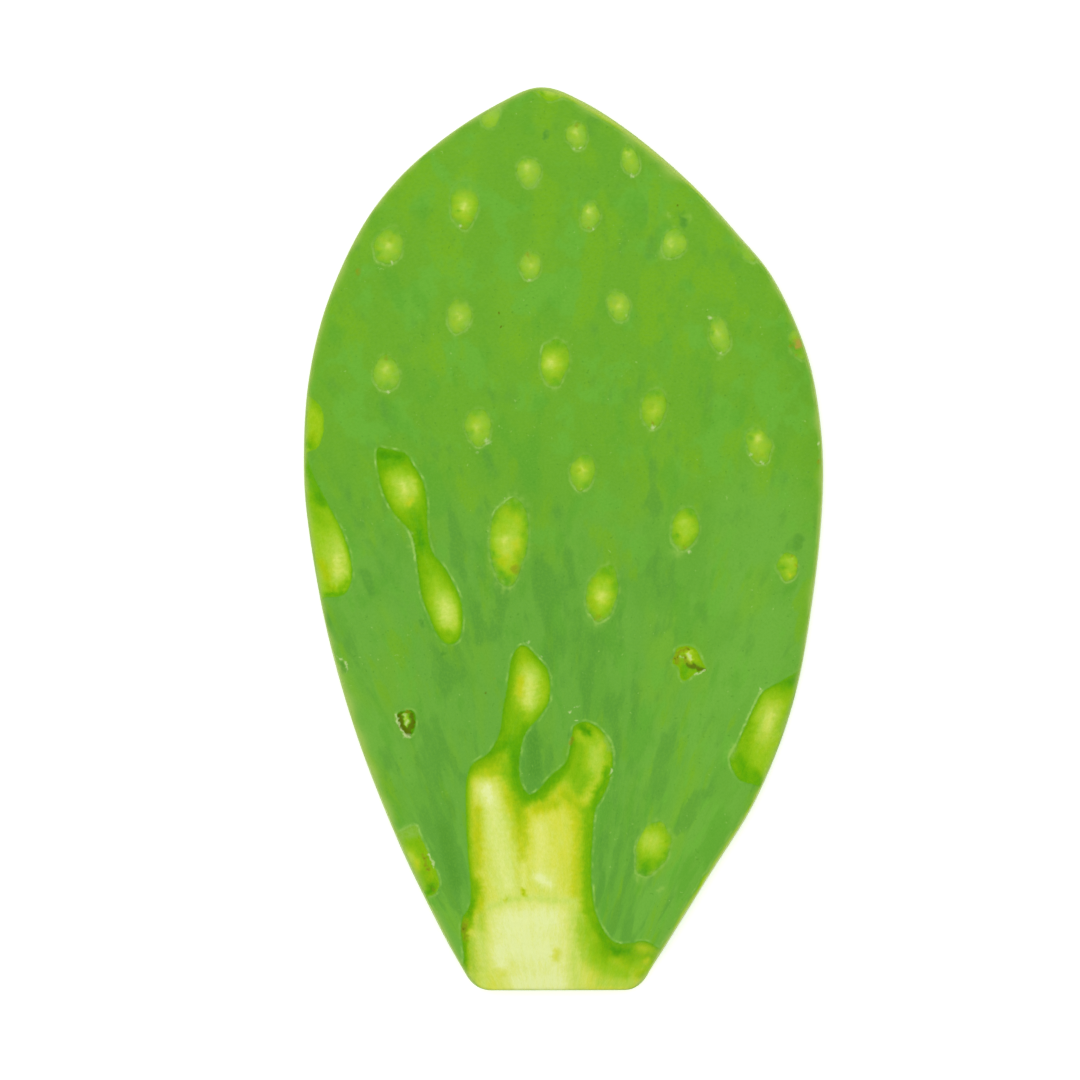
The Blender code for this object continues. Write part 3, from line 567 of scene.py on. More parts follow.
# %% The forked cut
forked_cut = LongCut(
    outline=(
        (-22.2, -94.2), (-22.6, -87.0), (-22.3, -83.6), (-20.9, -81.2), (-20.5, -77.9),
        (-21.2, -69.0), (-21.6, -60.0), (-21.5, -53.6), (-20.2, -49.8), (-16.5, -47.1),
        (-14.2, -42.9), (-13.4, -37.6), (-12.5, -32.8), (-11.6, -26.8), (-10.0, -23.9),
        (-8.1, -23.7), (-5.4, -26.4), (-3.2, -29.6), (-3.0, -35.4), (-5.4, -39.6),
        (-8.1, -42.6), (-9.3, -46.4), (-9.7, -51.2), (-8.9, -54.8), (-7.3, -56.3),
        (-5.4, -55.2), (-2.9, -52.3), (0.4, -49.4), (1.5, -45.6), (2.2, -41.6),
        (4.6, -40.3), (7.4, -41.4), (10.2, -44.6), (11.0, -48.4), (10.5, -52.6),
        (8.9, -56.6), (7.1, -60.0), (6.5, -66.0), (6.2, -74.3), (6.9, -81.2),
        (8.4, -85.3), (10.4, -88.2), (12.6, -89.2), (15.2, -89.0), (18.2, -88.7),
        (21.6, -90.6), (26.5, -93.0), (26.0, -104.0), (-26.0, -104.0),
    ),
    depth=1.9,
    wall=6.0,
    tone="straw",
    edge="green",
    fade=2.6,
    domes=((-7.4, -32.8), (6.6, -47.0), (-17.0, -55.4)),
    strokes=(
        # the left arm and its neck
        ("lime", -10.6, -27.0, -12.4, -42.0, 2.6), ("lime", -5.4, -27.4, -6.8, -38.0, 2.8),
        ("leaf", -5.9, -27.2, -5.3, -30.6, 1.2),
        ("olive", -8.6, -26.0, -8.8, -28.4, 1.6), ("light", -7.8, -29.6, -7.8, -36.8, 2.8),
        ("pale", -7.5, -31.0, -7.6, -36.0, 1.7), ("gold", -9.5, -31.0, -9.7, -34.0, 1.0),
        ("lime", -9.9, -39.0, -11.4, -43.0, 1.9), ("green", -8.4, -41.8, -10.4, -47.0, 1.5),
        ("green", -12.2, -45.2, -16.8, -47.8, 1.9),
        # the valley between the arms, and the seam below it
        ("green", -10.8, -45.8, -10.6, -54.0, 2.1), ("green", -9.8, -54.0, -9.2, -57.4, 1.8),
        ("green", -8.0, -57.2, -5.0, -56.6, 1.6), ("deep", -10.4, -48.4, -10.4, -52.0, 1.0),
        ("olive", -10.8, -58.6, -9.4, -62.2, 1.7), ("honey", -9.4, -62.6, -9.1, -66.4, 1.5),
        ("gold", -9.1, -66.4, -8.9, -71.0, 1.1), ("butter", -8.9, -72.0, -8.7, -77.4, 0.8),
        # the left lobe
        ("olive", -19.6, -50.8, -14.2, -48.8, 1.7), ("honey", -17.6, -52.0, -14.0, -51.4, 1.4),
        ("lime", -12.8, -50.4, -11.9, -55.6, 1.3), ("gold", -13.2, -54.0, -12.4, -56.6, 0.9),
        ("honey", -12.2, -57.0, -11.2, -61.4, 1.3), ("gold", -12.6, -60.4, -10.8, -66.0, 0.9),
        ("pale", -17.0, -55.4, -15.0, -62.6, 2.7), ("ivory", -17.0, -55.2, -15.8, -58.6, 1.6),
        ("pale", -15.0, -62.6, -12.6, -76.4, 3.0), ("milk", -15.4, -61.0, -12.4, -76.4, 2.0),
        ("gold", -19.0, -60.0, -18.9, -72.0, 1.1), ("olive", -19.4, -76.0, -18.8, -79.6, 1.4),
        # the right arm
        ("lime", 0.4, -50.6, -4.4, -55.2, 1.9), ("green", 2.0, -45.6, -0.4, -50.4, 1.5),
        ("green", -1.2, -52.0, -5.4, -56.0, 1.3), ("lime", 4.2, -46.6, 2.8, -53.0, 2.3),
        ("leaf", 7.0, -45.0, 6.2, -51.6, 2.2), ("light", 7.2, -47.0, 6.6, -50.4, 1.2),
        ("leaf", 9.4, -46.8, 9.4, -48.6, 0.8), ("deep", 3.9, -41.4, 5.4, -42.8, 1.2),
        ("lime", 4.4, -53.0, 3.4, -55.6, 1.8), ("green", 9.6, -50.6, 9.0, -54.6, 0.9),
        ("green", 8.0, -55.0, 6.6, -59.4, 1.1), ("honey", 0.4, -56.4, 4.0, -60.0, 1.5),
        ("bruise", 1.6, -45.2, 1.9, -44.2, 0.35), ("rind", 9.4, -43.6, 10.2, -46.4, 0.5),
        # the right lobe
        ("honey", -5.4, -59.8, -1.8, -58.6, 1.5), ("straw", -3.6, -63.4, -2.2, -73.0, 3.4),
        ("butter", -5.0, -64.0, -4.4, -70.0, 1.8),
        ("gold", 2.4, -61.0, 3.2, -63.0, 1.4), ("straw", 0.6, -63.4, 0.4, -72.0, 1.9),
        ("butter", -5.6, -70.8, -3.2, -74.4, 1.9), ("pale", -5.2, -75.0, -3.0, -76.8, 1.6),
        ("gold", 3.4, -64.0, 2.6, -81.0, 1.4), ("lime", 5.2, -60.0, 5.0, -82.0, 1.3),
        ("ivory", -5.8, -74.6, -3.4, -76.0, 1.2),
        # the flat slice at the base
        ("ivory", -12.0, -84.6, -3.0, -84.2, 4.8), ("ivory", -11.6, -90.0, -2.4, -92.0, 5.4),
        ("ivory", -9.0, -98.0, -1.0, -98.0, 3.8),
        ("pale", -17.6, -81.8, -12.8, -79.9, 1.0), ("pale", -12.8, -79.6, -6.0, -79.0, 0.7),
        ("pale", -5.6, -79.4, 2.6, -80.2, 0.9), ("gold", -18.6, -79.6, -18.4, -82.0, 1.0),
        ("light", -18.2, -83.6, -18.0, -86.4, 1.2),
        ("gold", -13.0, -79.8, -12.4, -79.6, 0.3), ("honey", -8.8, -77.6, -8.7, -78.8, 0.45),
        ("straw", -1.4, -91.2, -1.6, -92.8, 0.9), ("straw", -13.9, -95.4, -13.2, -96.2, 0.8),
        ("ivory", -14.4, -91.0, -14.0, -93.8, 1.5), ("pale", -18.0, -88.0, -17.6, -99.0, 1.3),
        ("light", -20.2, -88.4, -19.8, -99.0, 1.1), ("lime", -21.7, -86.0, -21.7, -99.0, 0.5),
        ("green", -20.8, -83.0, -20.0, -80.0, 0.8), ("lime", -20.6, -84.0, -20.6, -85.4, 0.8),
        ("brown", -21.6, -84.0, -21.6, -88.2, 0.8), ("bruise", -21.9, -85.4, -21.9, -86.6, 0.4),
        ("pale", 2.2, -82.0, 2.6, -89.4, 1.4), ("light", 3.7, -83.4, 4.2, -92.4, 1.0),
        ("pale", 2.4, -92.0, 3.0, -99.0, 1.8), ("lime", 5.6, -82.0, 6.4, -86.0, 1.3),
        ("leaf", 5.2, -86.0, 6.8, -93.0, 2.1), ("green", 8.0, -85.4, 9.4, -89.6, 1.5),
        ("lime", 8.4, -90.4, 9.4, -94.4, 1.5), ("leaf", 9.6, -95.2, 13.4, -96.2, 2.4),
        ("light", 8.0, -98.2, 15.0, -98.6, 1.1), ("deep", 11.4, -90.8, 14.4, -91.2, 1.7),
        ("lime", 15.0, -93.0, 19.8, -92.6, 2.2), ("leaf", 16.4, -94.2, 18.8, -94.6, 1.3),
        ("olive", 17.0, -96.6, 18.0, -96.4, 0.9), ("gold", 18.3, -93.2, 18.3, -93.3, 0.8),
        # where the skin parted cleanly
        ("clean", -21.0, -50.0, -21.6, -78.0, 1.6), ("clean", -13.6, -34.0, -14.6, -44.0, 1.4),
    ),
)

# %% The cut of two shavings joined by a neck
joined_cut = LongCut(
    outline=(
        (-41.2, 20.0), (-38.5, 19.8), (-34.9, 18.9), (-33.0, 16.2), (-31.0, 12.8),
        (-30.1, 8.2), (-30.0, 3.2), (-29.5, -1.0), (-28.4, -3.6), (-26.4, -6.0),
        (-24.1, -10.0), (-22.4, -14.4), (-22.3, -19.4), (-23.3, -22.6), (-25.9, -23.2),
        (-28.1, -20.8), (-29.7, -17.0), (-31.3, -12.8), (-32.2, -7.4), (-32.8, -2.4),
        (-34.1, 1.8), (-37.6, 5.8), (-39.8, 10.0), (-41.0, 15.0),
    ),
    depth=1.2,
    wall=4.2,
    tone="lime",
    edge="green",
    fade=1.6,
    domes=((-34.9, 11.2), (-26.1, -16.2)),
    strokes=(
        ("deep", -40.7, 18.6, -36.2, 18.2, 1.6), ("green", -39.8, 15.6, -37.6, 16.6, 1.3),
        ("leaf", -37.0, 13.0, -35.3, 9.4, 2.5), ("light", -35.6, 12.2, -34.6, 9.2, 1.9),
        ("pale", -35.4, 11.8, -35.0, 10.6, 0.8), ("light", -33.5, 12.8, -33.0, 10.4, 1.1),
        ("gold", -33.7, 8.6, -34.0, 7.8, 0.7),
        ("lime", -35.5, 5.4, -32.2, 6.0, 1.0), ("green", -32.2, 4.6, -31.2, -3.0, 1.6),
        ("deep", -31.8, 1.6, -31.5, -1.0, 0.8), ("lime", -30.6, -4.8, -29.5, -8.8, 1.5),
        ("leaf", -28.3, -9.8, -27.3, -13.0, 1.6), ("leaf", -26.6, -13.4, -25.3, -19.0, 2.6),
        ("light", -26.4, -13.6, -25.4, -19.2, 2.2), ("light", -24.5, -15.4, -24.0, -18.4, 1.1),
        ("pale", -26.1, -15.0, -25.7, -17.4, 1.3),
        ("lime", -27.3, -20.8, -24.1, -21.4, 0.9), ("rind", -33.9, 1.6, -33.0, -3.0, 0.25),
        ("dry", -33.5, 2.2, -32.5, -4.4, 0.9),
    ),
)

# %% The slices that open onto the edges
left_slice = LongCut(
    outline=(
        (-60.0, 21.0), (-57.4, 19.4), (-56.2, 16.6), (-55.1, 13.8), (-53.4, 10.4),
        (-50.9, 5.8), (-48.5, 1.0), (-46.9, -4.4), (-46.7, -9.0), (-48.3, -12.2),
        (-52.0, -12.9), (-60.0, -12.4),
    ),
    depth=1.5, wall=5.5, tone="leaf", edge="green", fade=1.5,
    domes=((-50.2, -6.4),),
    strokes=(
        ("green", -57.0, 19.0, -54.2, 9.0, 2.2), ("deep", -53.8, 9.4, -53.2, 8.0, 0.9),
        ("lime", -54.8, 5.4, -52.6, 2.8, 1.7), ("leaf", -52.8, 0.6, -51.8, -4.0, 2.6),
        ("light", -50.0, -1.6, -49.7, -9.0, 2.4), ("light", -48.6, -3.6, -48.3, -8.4, 1.4),
        ("pale", -50.0, -4.0, -50.0, -7.4, 0.9),
        ("honey", -53.6, -5.4, -52.4, -8.8, 0.9), ("lime", -47.8, -9.4, -49.2, -11.2, 0.8),
        ("olive", -52.0, -10.6, -51.0, -11.0, 0.8), ("green", -52.4, -12.3, -48.8, -12.1, 0.6),
        ("clean", -57.0, 19.0, -52.4, 8.0, 2.4), ("clean", -52.0, -12.6, -49.0, -12.4, 1.4),
    ),
)
right_slice = LongCut(
    outline=(
        (57.0, -28.2), (52.2, -29.2), (47.6, -31.7), (44.0, -33.8), (41.4, -38.6),
        (38.5, -45.0), (36.7, -48.7), (38.5, -52.9), (41.5, -54.2), (43.4, -54.8),
        (48.0, -57.2), (53.0, -58.0),
    ),
    depth=1.5, wall=5.5, tone="leaf", edge="green", fade=1.7,
    domes=((45.4, -40.8),),
    strokes=(
        ("green", 53.0, -29.8, 48.6, -32.2, 2.4), ("lime", 49.8, -35.0, 46.4, -35.2, 1.6),
        ("leaf", 47.2, -37.6, 43.8, -46.0, 3.0), ("light", 46.2, -37.6, 44.4, -43.4, 2.3),
        ("pale", 45.8, -39.0, 45.2, -41.4, 1.2), ("deep", 53.0, -30.0, 50.4, -31.4, 1.2),
        ("lime", 50.4, -37.0, 48.4, -42.0, 0.8),
        ("lime", 41.4, -41.0, 40.4, -46.0, 1.1), ("leaf", 41.8, -48.2, 44.8, -48.6, 1.7),
        ("green", 38.8, -48.6, 40.6, -52.6, 2.0), ("green", 42.6, -52.0, 43.4, -53.6, 1.3),
        ("dry", 43.4, -34.4, 39.4, -43.0, 0.8), ("clean", 53.0, -28.8, 47.6, -31.8, 1.6),
        ("clean", 40.0, -53.8, 46.0, -56.0, 1.6),
    ),
)
high_nick = LongCut(
    outline=(
        (-61.0, 33.2), (-56.0, 31.4), (-53.6, 29.0), (-52.9, 26.0), (-53.3, 22.4),
        (-55.0, 19.8), (-61.0, 19.6),
    ),
    depth=0.7, wall=3.0, tone="leaf", edge="lime", fade=1.2,
    strokes=(
        ("lime", -55.4, 30.6, -54.0, 28.6, 1.2), ("leaf", -55.2, 28.0, -55.0, 24.4, 1.3),
        ("olive", -55.4, 22.6, -55.6, 21.4, 1.0), ("green", -56.6, 20.8, -55.4, 20.0, 0.9),
        ("clean", -56.0, 31.6, -52.8, 26.0, 1.6), ("clean", -53.2, 23.4, -55.0, 19.6, 1.4),
    ),
)
ragged_slice = LongCut(
    outline=(
        (-42.0, -64.8), (-37.0, -65.0), (-33.8, -63.5), (-32.4, -63.4), (-31.7, -65.4),
        (-30.4, -67.9), (-28.9, -71.2), (-27.6, -74.4), (-27.4, -76.4), (-28.2, -78.2),
        (-30.0, -79.0), (-33.0, -79.4), (-38.0, -79.4),
    ),
    depth=0.9, wall=3.2, tone="lime", edge="lime", fade=0.8,
    strokes=(
        ("rind", -36.8, -65.6, -33.0, -64.4, 1.1), ("lime", -34.4, -67.2, -32.2, -67.4, 1.2),
        ("leaf", -34.2, -69.4, -32.8, -71.4, 1.3), ("light", -33.8, -69.6, -33.4, -70.6, 0.7),
        ("gold", -32.4, -71.4, -32.2, -73.6, 0.9), ("bruise", -31.0, -69.8, -30.6, -70.6, 0.45),
        ("bruise", -30.4, -71.4, -29.8, -73.2, 0.3), ("lime", -31.4, -74.0, -31.0, -76.4, 1.1),
        ("olive", -29.2, -73.4, -29.8, -76.4, 0.9), ("deep", -28.9, -76.8, -29.8, -78.4, 1.0),
        ("brown", -28.6, -76.6, -28.8, -77.4, 0.4),
        ("cream", -29.6, -69.6, -28.6, -72.0, 0.3),
    ),
)
tip_facet = LongCut(
    outline=(
        (-6.0, 98.9), (-5.2, 98.1), (-4.0, 97.1), (-2.8, 96.6), (-1.2, 97.1), (0.4, 97.6),
        (2.4, 97.4), (3.6, 99.0), (-1.0, 102.0), (-6.4, 101.0),
    ),
    depth=0.3, wall=1.6, tone="leaf", edge="lime", fade=0.7,
    strokes=(
        ("lime", -3.8, 97.4, -2.0, 97.4, 0.7), ("green", -4.9, 98.5, -4.4, 98.1, 0.35),
        ("light", -3.6, 98.8, -0.4, 98.6, 0.6), ("cream", -2.8, 99.2, 0.2, 98.9, 0.25),
        ("green", -1.6, 98.0, -0.8, 98.0, 0.3),
    ),
)

# %% The torn areole and the pit
torn_cut = LongCut(
    outline=(
        (25.0, -24.2), (27.2, -23.6), (29.4, -24.4), (30.6, -26.8), (31.6, -29.0),
        (30.4, -29.3), (28.8, -30.0), (27.0, -31.4), (25.8, -30.6), (25.4, -28.4),
        (24.0, -27.4), (24.6, -25.6),
    ),
    depth=0.5, wall=1.4, tone="lime", edge="lime", fade=0.6,
    strokes=(
        ("olive", 25.0, -25.0, 26.6, -24.4, 0.9), ("bruise", 25.1, -25.8, 26.1, -24.5, 0.35),
        ("bruise", 26.1, -24.5, 27.7, -24.1, 0.3), ("bruise", 24.5, -26.4, 25.0, -27.0, 0.35),
        ("pale", 27.8, -25.2, 28.0, -26.6, 0.7), ("cream", 27.7, -25.3, 28.0, -26.2, 0.4),
        ("olive", 28.9, -24.9, 29.2, -25.6, 0.5), ("bruise", 26.6, -26.0, 27.0, -27.0, 0.45),
        ("cream", 25.4, -26.4, 26.0, -26.2, 0.3), ("bruise", 24.8, -27.2, 25.8, -27.2, 0.35),
        ("olive", 29.2, -26.2, 29.8, -27.8, 0.8), ("bruise", 27.8, -27.2, 28.6, -27.8, 0.3),
        ("pit", 27.6, -27.9, 29.2, -28.4, 0.6), ("pit", 29.2, -28.4, 31.0, -28.9, 0.45),
        ("green", 26.8, -28.4, 26.8, -30.6, 0.9), ("cream", 29.0, -30.0, 30.9, -29.2, 0.3),
    ),
)
pit_cut = LongCut(
    outline=(
        (-36.6, -38.4), (-35.0, -37.9), (-33.5, -37.8), (-32.6, -38.9), (-32.6, -41.2),
        (-33.2, -43.0), (-34.4, -43.6), (-35.7, -41.8), (-36.7, -39.8),
    ),
    depth=0.8, wall=1.2, tone="green", edge="deep", fade=0.5,
    strokes=(
        ("pit", -35.9, -39.0, -35.8, -41.2, 0.65), ("pit", -35.6, -41.4, -34.4, -42.9, 0.6),
        ("pit", -33.6, -38.7, -33.2, -40.6, 0.5), ("pit", -33.3, -40.6, -34.2, -42.6, 0.6),
        ("core", -34.8, -38.8, -34.5, -40.7, 0.45), ("bruise", -35.2, -38.1, -34.0, -38.1, 0.25),
        ("cream", -36.9, -38.6, -36.5, -40.6, 0.3), ("cream", -36.5, -40.6, -35.0, -43.4, 0.3),
        ("cream", -34.6, -43.4, -34.1, -43.7, 0.5),
    ),
)
top_cuts = [
    forked_cut, joined_cut, left_slice, right_slice, high_nick, ragged_slice, tip_facet,
    torn_cut, pit_cut,
]
print("long cuts on the top face:", len(top_cuts))

# %% The slice under the base
under_slice = LongCut(
    outline=(
        (-26.0, -104.0), (-17.0, -90.0), (-11.0, -81.0), (-3.0, -77.4), (4.0, -79.0),
        (10.0, -84.6), (16.0, -91.0), (26.0, -104.0),
    ),
    depth=0.9, wall=6.0, tone="straw", edge="green", fade=3.2,
    strokes=(
        ("ivory", -6.0, -92.0, 4.0, -94.0, 5.0), ("gold", -4.0, -81.6, 2.0, -82.0, 1.6),
        ("gold", -1.6, -84.0, -1.2, -92.0, 0.5), ("pale", -14.0, -97.0, 12.0, -98.0, 2.0),
        ("lime", -16.4, -92.0, -12.6, -86.0, 1.2),
    ),
)
under_cuts = [under_slice]


# %% [markdown]
# ## Height of the surface
#
# Now every part of the form is a function of a point, so the height of either face
# is one sum: slab, mounds, minus what the knife took. Where the blade broke the
# skin, the skin's edge curls up a little. That small lip catches light and makes
# the cuts look sharp.

# %% Relief of mounds and cuts
END_SLICE_START = -79.0
END_SLICE_DROP = 3.4
GROOVE = ((-9.0, -60.0), (-8.8, -78.5))
GROOVE_WIDTH = 1.1
GROOVE_DEPTH = 0.45
SWEPT_DOME = 0.4
SWEPT_REACH = 3.2
PRESSED_DENT = 0.3
END_SLICE_BEND = 1.3
MOUND_SPREAD = 3.0           # how far a mound is felt, in half lengths of its oval
DENT_SPREAD = 1.3


def near_rows(points, areole, reach):
    return np.flatnonzero(np.linalg.norm(points - areole.centre, axis=1) < reach * areole.half[0])


def shaved_mounds(points, areoles):
    raised = np.zeros(len(points))
    height_at_rim = MOUND_HEIGHT * math.exp(-1 / MOUND_REACH**2)
    for areole in areoles:
        near = near_rows(points, areole, MOUND_SPREAD)
        radius2 = areole.radius(points[near]) ** 2
        bump = MOUND_HEIGHT * np.exp(-radius2 / MOUND_REACH**2)
        cut_face = height_at_rim + SHAVING_DOME * (1 - radius2)
        raised[near] += np.where(radius2 < 1, cut_face, bump)
    return raised


def pressed_dents(points, areoles):
    dent = np.zeros(len(points))
    for areole in areoles:
        near = near_rows(points, areole, DENT_SPREAD)
        radius2 = areole.radius(points[near]) ** 2
        dent[near] = np.maximum(dent[near], PRESSED_DENT * (1 - radius2))
    return dent


def cut_depth(points, cuts):
    depth = np.zeros(len(points))
    for cut in cuts:
        inward = signed_distance(points, cut.loop)
        below = np.full(len(points), cut.depth)
        for centre in cut.domes:
            away2 = np.sum((points - centre) ** 2, axis=1)
            below -= SWEPT_DOME * np.exp(-away2 / SWEPT_REACH**2)
        if cut is forked_cut:
            down = (END_SLICE_START - points[:, 1]) / (END_SLICE_START + HALF_LENGTH)
            below += END_SLICE_DROP * np.clip(down, 0, None) ** END_SLICE_BEND
            gap = distance_to_line(points, np.array(GROOVE), False)
            below += GROOVE_DEPTH * np.exp(-((gap / GROOVE_WIDTH) ** 2))
        wall = 1 - (1 - np.clip(inward / cut.wall, 0, 1)) ** 2
        depth = np.maximum(depth, below * wall)
    return depth


# %% [markdown]
# ## What the surface knows about itself
#
# The material can't measure distances to the cuts, so each point carries a few
# numbers for it. `cut` is the signed distance in from the nearest cut line. A
# distance runs evenly across a triangle, so the shader can draw a line far finer
# than the mesh. `pale` and `warm` give the flesh its tone, and `shade` and `tint`
# shift the green of the skin. `crust`, `rind` and `cream` stand for dried rind,
# and `brown`, `shadow` and `tanned` for bruises, hollows and scars. `bare` is skin
# left inside a cut, and `fringe` is the pale line round the rim.

# %% Nearest cut line
OVAL_SPREAD = 2.0


def cut_distance(points, areoles, cuts):
    nearest = np.full(len(points), FAR_OUTSIDE)
    for areole in areoles:
        near = near_rows(points, areole, OVAL_SPREAD)
        nearest[near] = np.maximum(nearest[near], areole.inward(points[near]))
    for cut in cuts:
        nearest = np.maximum(nearest, signed_distance(points, cut.loop))
    return nearest


# %% The palette
# What one stroke sets at its middle. Paleness runs from 0, deep green, to 1, ivory.
PALETTE = {
    "deep": {"pale": 0.02, "warm": 0.0},
    "green": {"pale": 0.16, "warm": 0.0},
    "lime": {"pale": 0.32, "warm": 0.15},
    "leaf": {"pale": 0.50, "warm": 0.1},
    "olive": {"pale": 0.36, "warm": 0.7},
    "gold": {"pale": 0.60, "warm": 0.9},
    "honey": {"pale": 0.48, "warm": 0.95},
    "light": {"pale": 0.66, "warm": 0.15},
    "straw": {"pale": 0.78, "warm": 0.8},
    "butter": {"pale": 0.90, "warm": 0.6},
    "pale": {"pale": 0.80, "warm": 0.05},
    "milk": {"pale": 0.90, "warm": 0.1},
    "ivory": {"pale": 1.02, "warm": 0.05},
    "brown": {"brown": 0.7, "warm": 1.0},
    "bruise": {"brown": 1.0},
    # The pit tone paints shade into the pit's hollow.
    "pit": {"pale": 0.0, "shadow": 1.0},
    "cream": {"cream": 0.8},
    "core": {"pale": 0.6, "shadow": 0.0, "cream": 0.8},
    "speck": {"shadow": 1.0},
    "rind": {"rind": 0.8, "crust": 0.9},
    "skin": {"rind": 0.15, "bare": 1.0},
    "clean": {"crust": 0.0},
    "dry": {"crust": 1.1},
    "tan": {"brown": 0.0, "rind": 0.0, "tanned": 1.0},
    "dark": {"shade": -1.3},
    "dusk": {"shade": -0.8},
    "violet": {"shade": -0.4},
    "sage": {"shade": 0.8},
    "sun": {"tint": 0.8},
    "teal": {"tint": -0.8},
}
SURFACE_NUMBERS = (
    "pale", "warm", "brown", "cream", "rind", "bare", "shade", "tint", "shadow", "crust", "tanned",
    "fringe",
)
BRUSH_HARDNESS = 1.9
BRUSH_WANDER = 0.22
WANDER_SIZE = 1.7
WANDER_SEEDS = (51, 52)


# %% The brush
def paint(values, points, stroke):
    """Pull the values towards the stroke's tone, fully on its line and hardly at 1.5 reaches."""
    tone, x0, y0, x1, y1, reach = stroke
    ends = np.array(((x0, y0), (x1, y1)))
    margin = 2.0 * reach + 2 * BRUSH_WANDER
    inside_box = np.all((points > ends.min(0) - margin) & (points < ends.max(0) + margin), axis=1)
    rows = np.flatnonzero(inside_box)
    away = distance_to_line(points[rows] + wander[rows], ends, False) / reach
    opacity = np.exp(-(away**BRUSH_HARDNESS))
    for name, target in PALETTE[tone].items():
        values[name][rows] += opacity * (target - values[name][rows])


def wandering(points):
    """Small shifts that give every stroke an uneven edge."""
    shifts = [BRUSH_WANDER * unevenness(points, WANDER_SIZE, seed) for seed in WANDER_SEEDS]
    return np.column_stack(shifts)


# %% Streaks and clouds in the skin
SKIN_STREAKS = {
    "sage": (
        (-30, 79, -24, 72, 4.0), (-27, 61, -30, 56, 3.5), (-14, 74, -13, 60, 2.8),
        (1, 64, 3, 52, 3.8), (-8, 52, -3, 58, 2.5), (44, 40, 46, 30, 4.2), (36, 27, 33, 16, 3.0),
        (-22, 41, -19, 37, 2.4), (-46, 42, -44, 36, 2.0), (-36, -20, -33, -33, 3.2),
        (-50, 30, -48, 24, 1.8), (28, 48, 30, 44, 2.0), (34, -8, 36, -16, 2.6),
    ),
    "sun": (
        (5, 90, 6, 84, 2.0), (-4, 78, -5, 66, 2.6), (-4, 92, -3, 88, 1.8), (10, 70, 12, 62, 2.2),
        (8, 66, 5, 52, 1.8), (4, 51, 1, 45, 1.8), (19, 58, 19, 36, 1.6), (20, 80, 19, 64, 1.2),
        (37, 57, 39, 50, 1.8), (31, 58, 36, 55, 1.6), (29, 18, 30, 6, 1.6), (-23, 80, -20, 82, 1.5),
        (13, -1, 15, -8, 1.6), (9, 0, 12, -6, 2.0), (54, -10, 52, -22, 2.0), (-28, 44, -27, 38, 1.6),
    ),
    "teal": (
        (-38, 28, -32, 22, 3.2), (-33, 20, -28, 8, 2.4), (-5, 30, -7, 12, 2.2),
        (-18, 22, -16, 14, 2.0), (3, 8, -1, 0, 2.6), (-24, 38, -23, 32, 1.6), (16, 74, 17, 70, 1.6),
        (8, 34, 9, 30, 1.2), (-2, -10, -1, -20, 2.0), (14, -34, 18, -46, 3.0),
        (10, -22, 16, -28, 2.6), (12, -52, 11, -60, 2.4), (36, -62, 26, -76, 2.6),
        (-40, -10, -44, -14, 2.0), (-52, 35, -50, 31, 1.5), (30, -16, 26, -20, 2.4),
    ),
    "violet": (
        (-50, -18, -42, -30, 4.5), (-46, 8, -42, 0, 3.0), (40, 14, 38, 4, 2.0),
        (44, -8, 36, -24, 4.0), (-36, -56, -32, -60, 3.0), (-22, -28, -20, -36, 2.5),
        (30, -50, 36, -56, 3.0), (-30, -84, -24, -92, 2.0), (-10, 8, -22, 6, 3.0),
        (18, -4, 24, -18, 4.0), (0, -12, 8, -36, 6.0), (-18, -6, -26, -30, 6.0),
        (14, -50, 14, -78, 5.0), (-30, -40, -26, -70, 5.0),
    ),
    "dusk": (
        (-25, 8, -23, -4, 1.8), (-23, -6, -19, -22, 1.8), (-15, 14, -18, 20, 1.2),
        (-14, -8, -14, -20, 2.6), (-6, -4, -3, -26, 2.2), (-1, 6, 2, -10, 1.8),
        (5, -22, 6, -38, 2.6), (20, 16, 21, -12, 1.6), (25, -14, 22, -2, 1.2),
        (12, -36, 11, -48, 2.0), (8, -66, 8, -80, 1.8), (14, -60, 16, -72, 1.8),
        (12, -82, 14, -88, 2.4), (-26, -26, -28, -40, 2.2), (-28, -44, -27, -60, 2.6),
        (-27, -60, -24, -80, 2.8), (-38, -44, -40, -52, 2.0), (-44, -7, -42, -12, 1.2),
        (22, -44, 20, -56, 2.0), (30, -56, 26, -64, 1.8), (-7, -40, -6, -54, 3.0),
    ),
    "dark": (
        (26.0, 72.2, 26.6, 69.6, 1.2), (-6.6, -44, -6.4, -51, 1.8), (-26.4, -64, -23.6, -76, 1.6),
        (52.4, 0, 51.6, -1.6, 1.0),
    ),
}
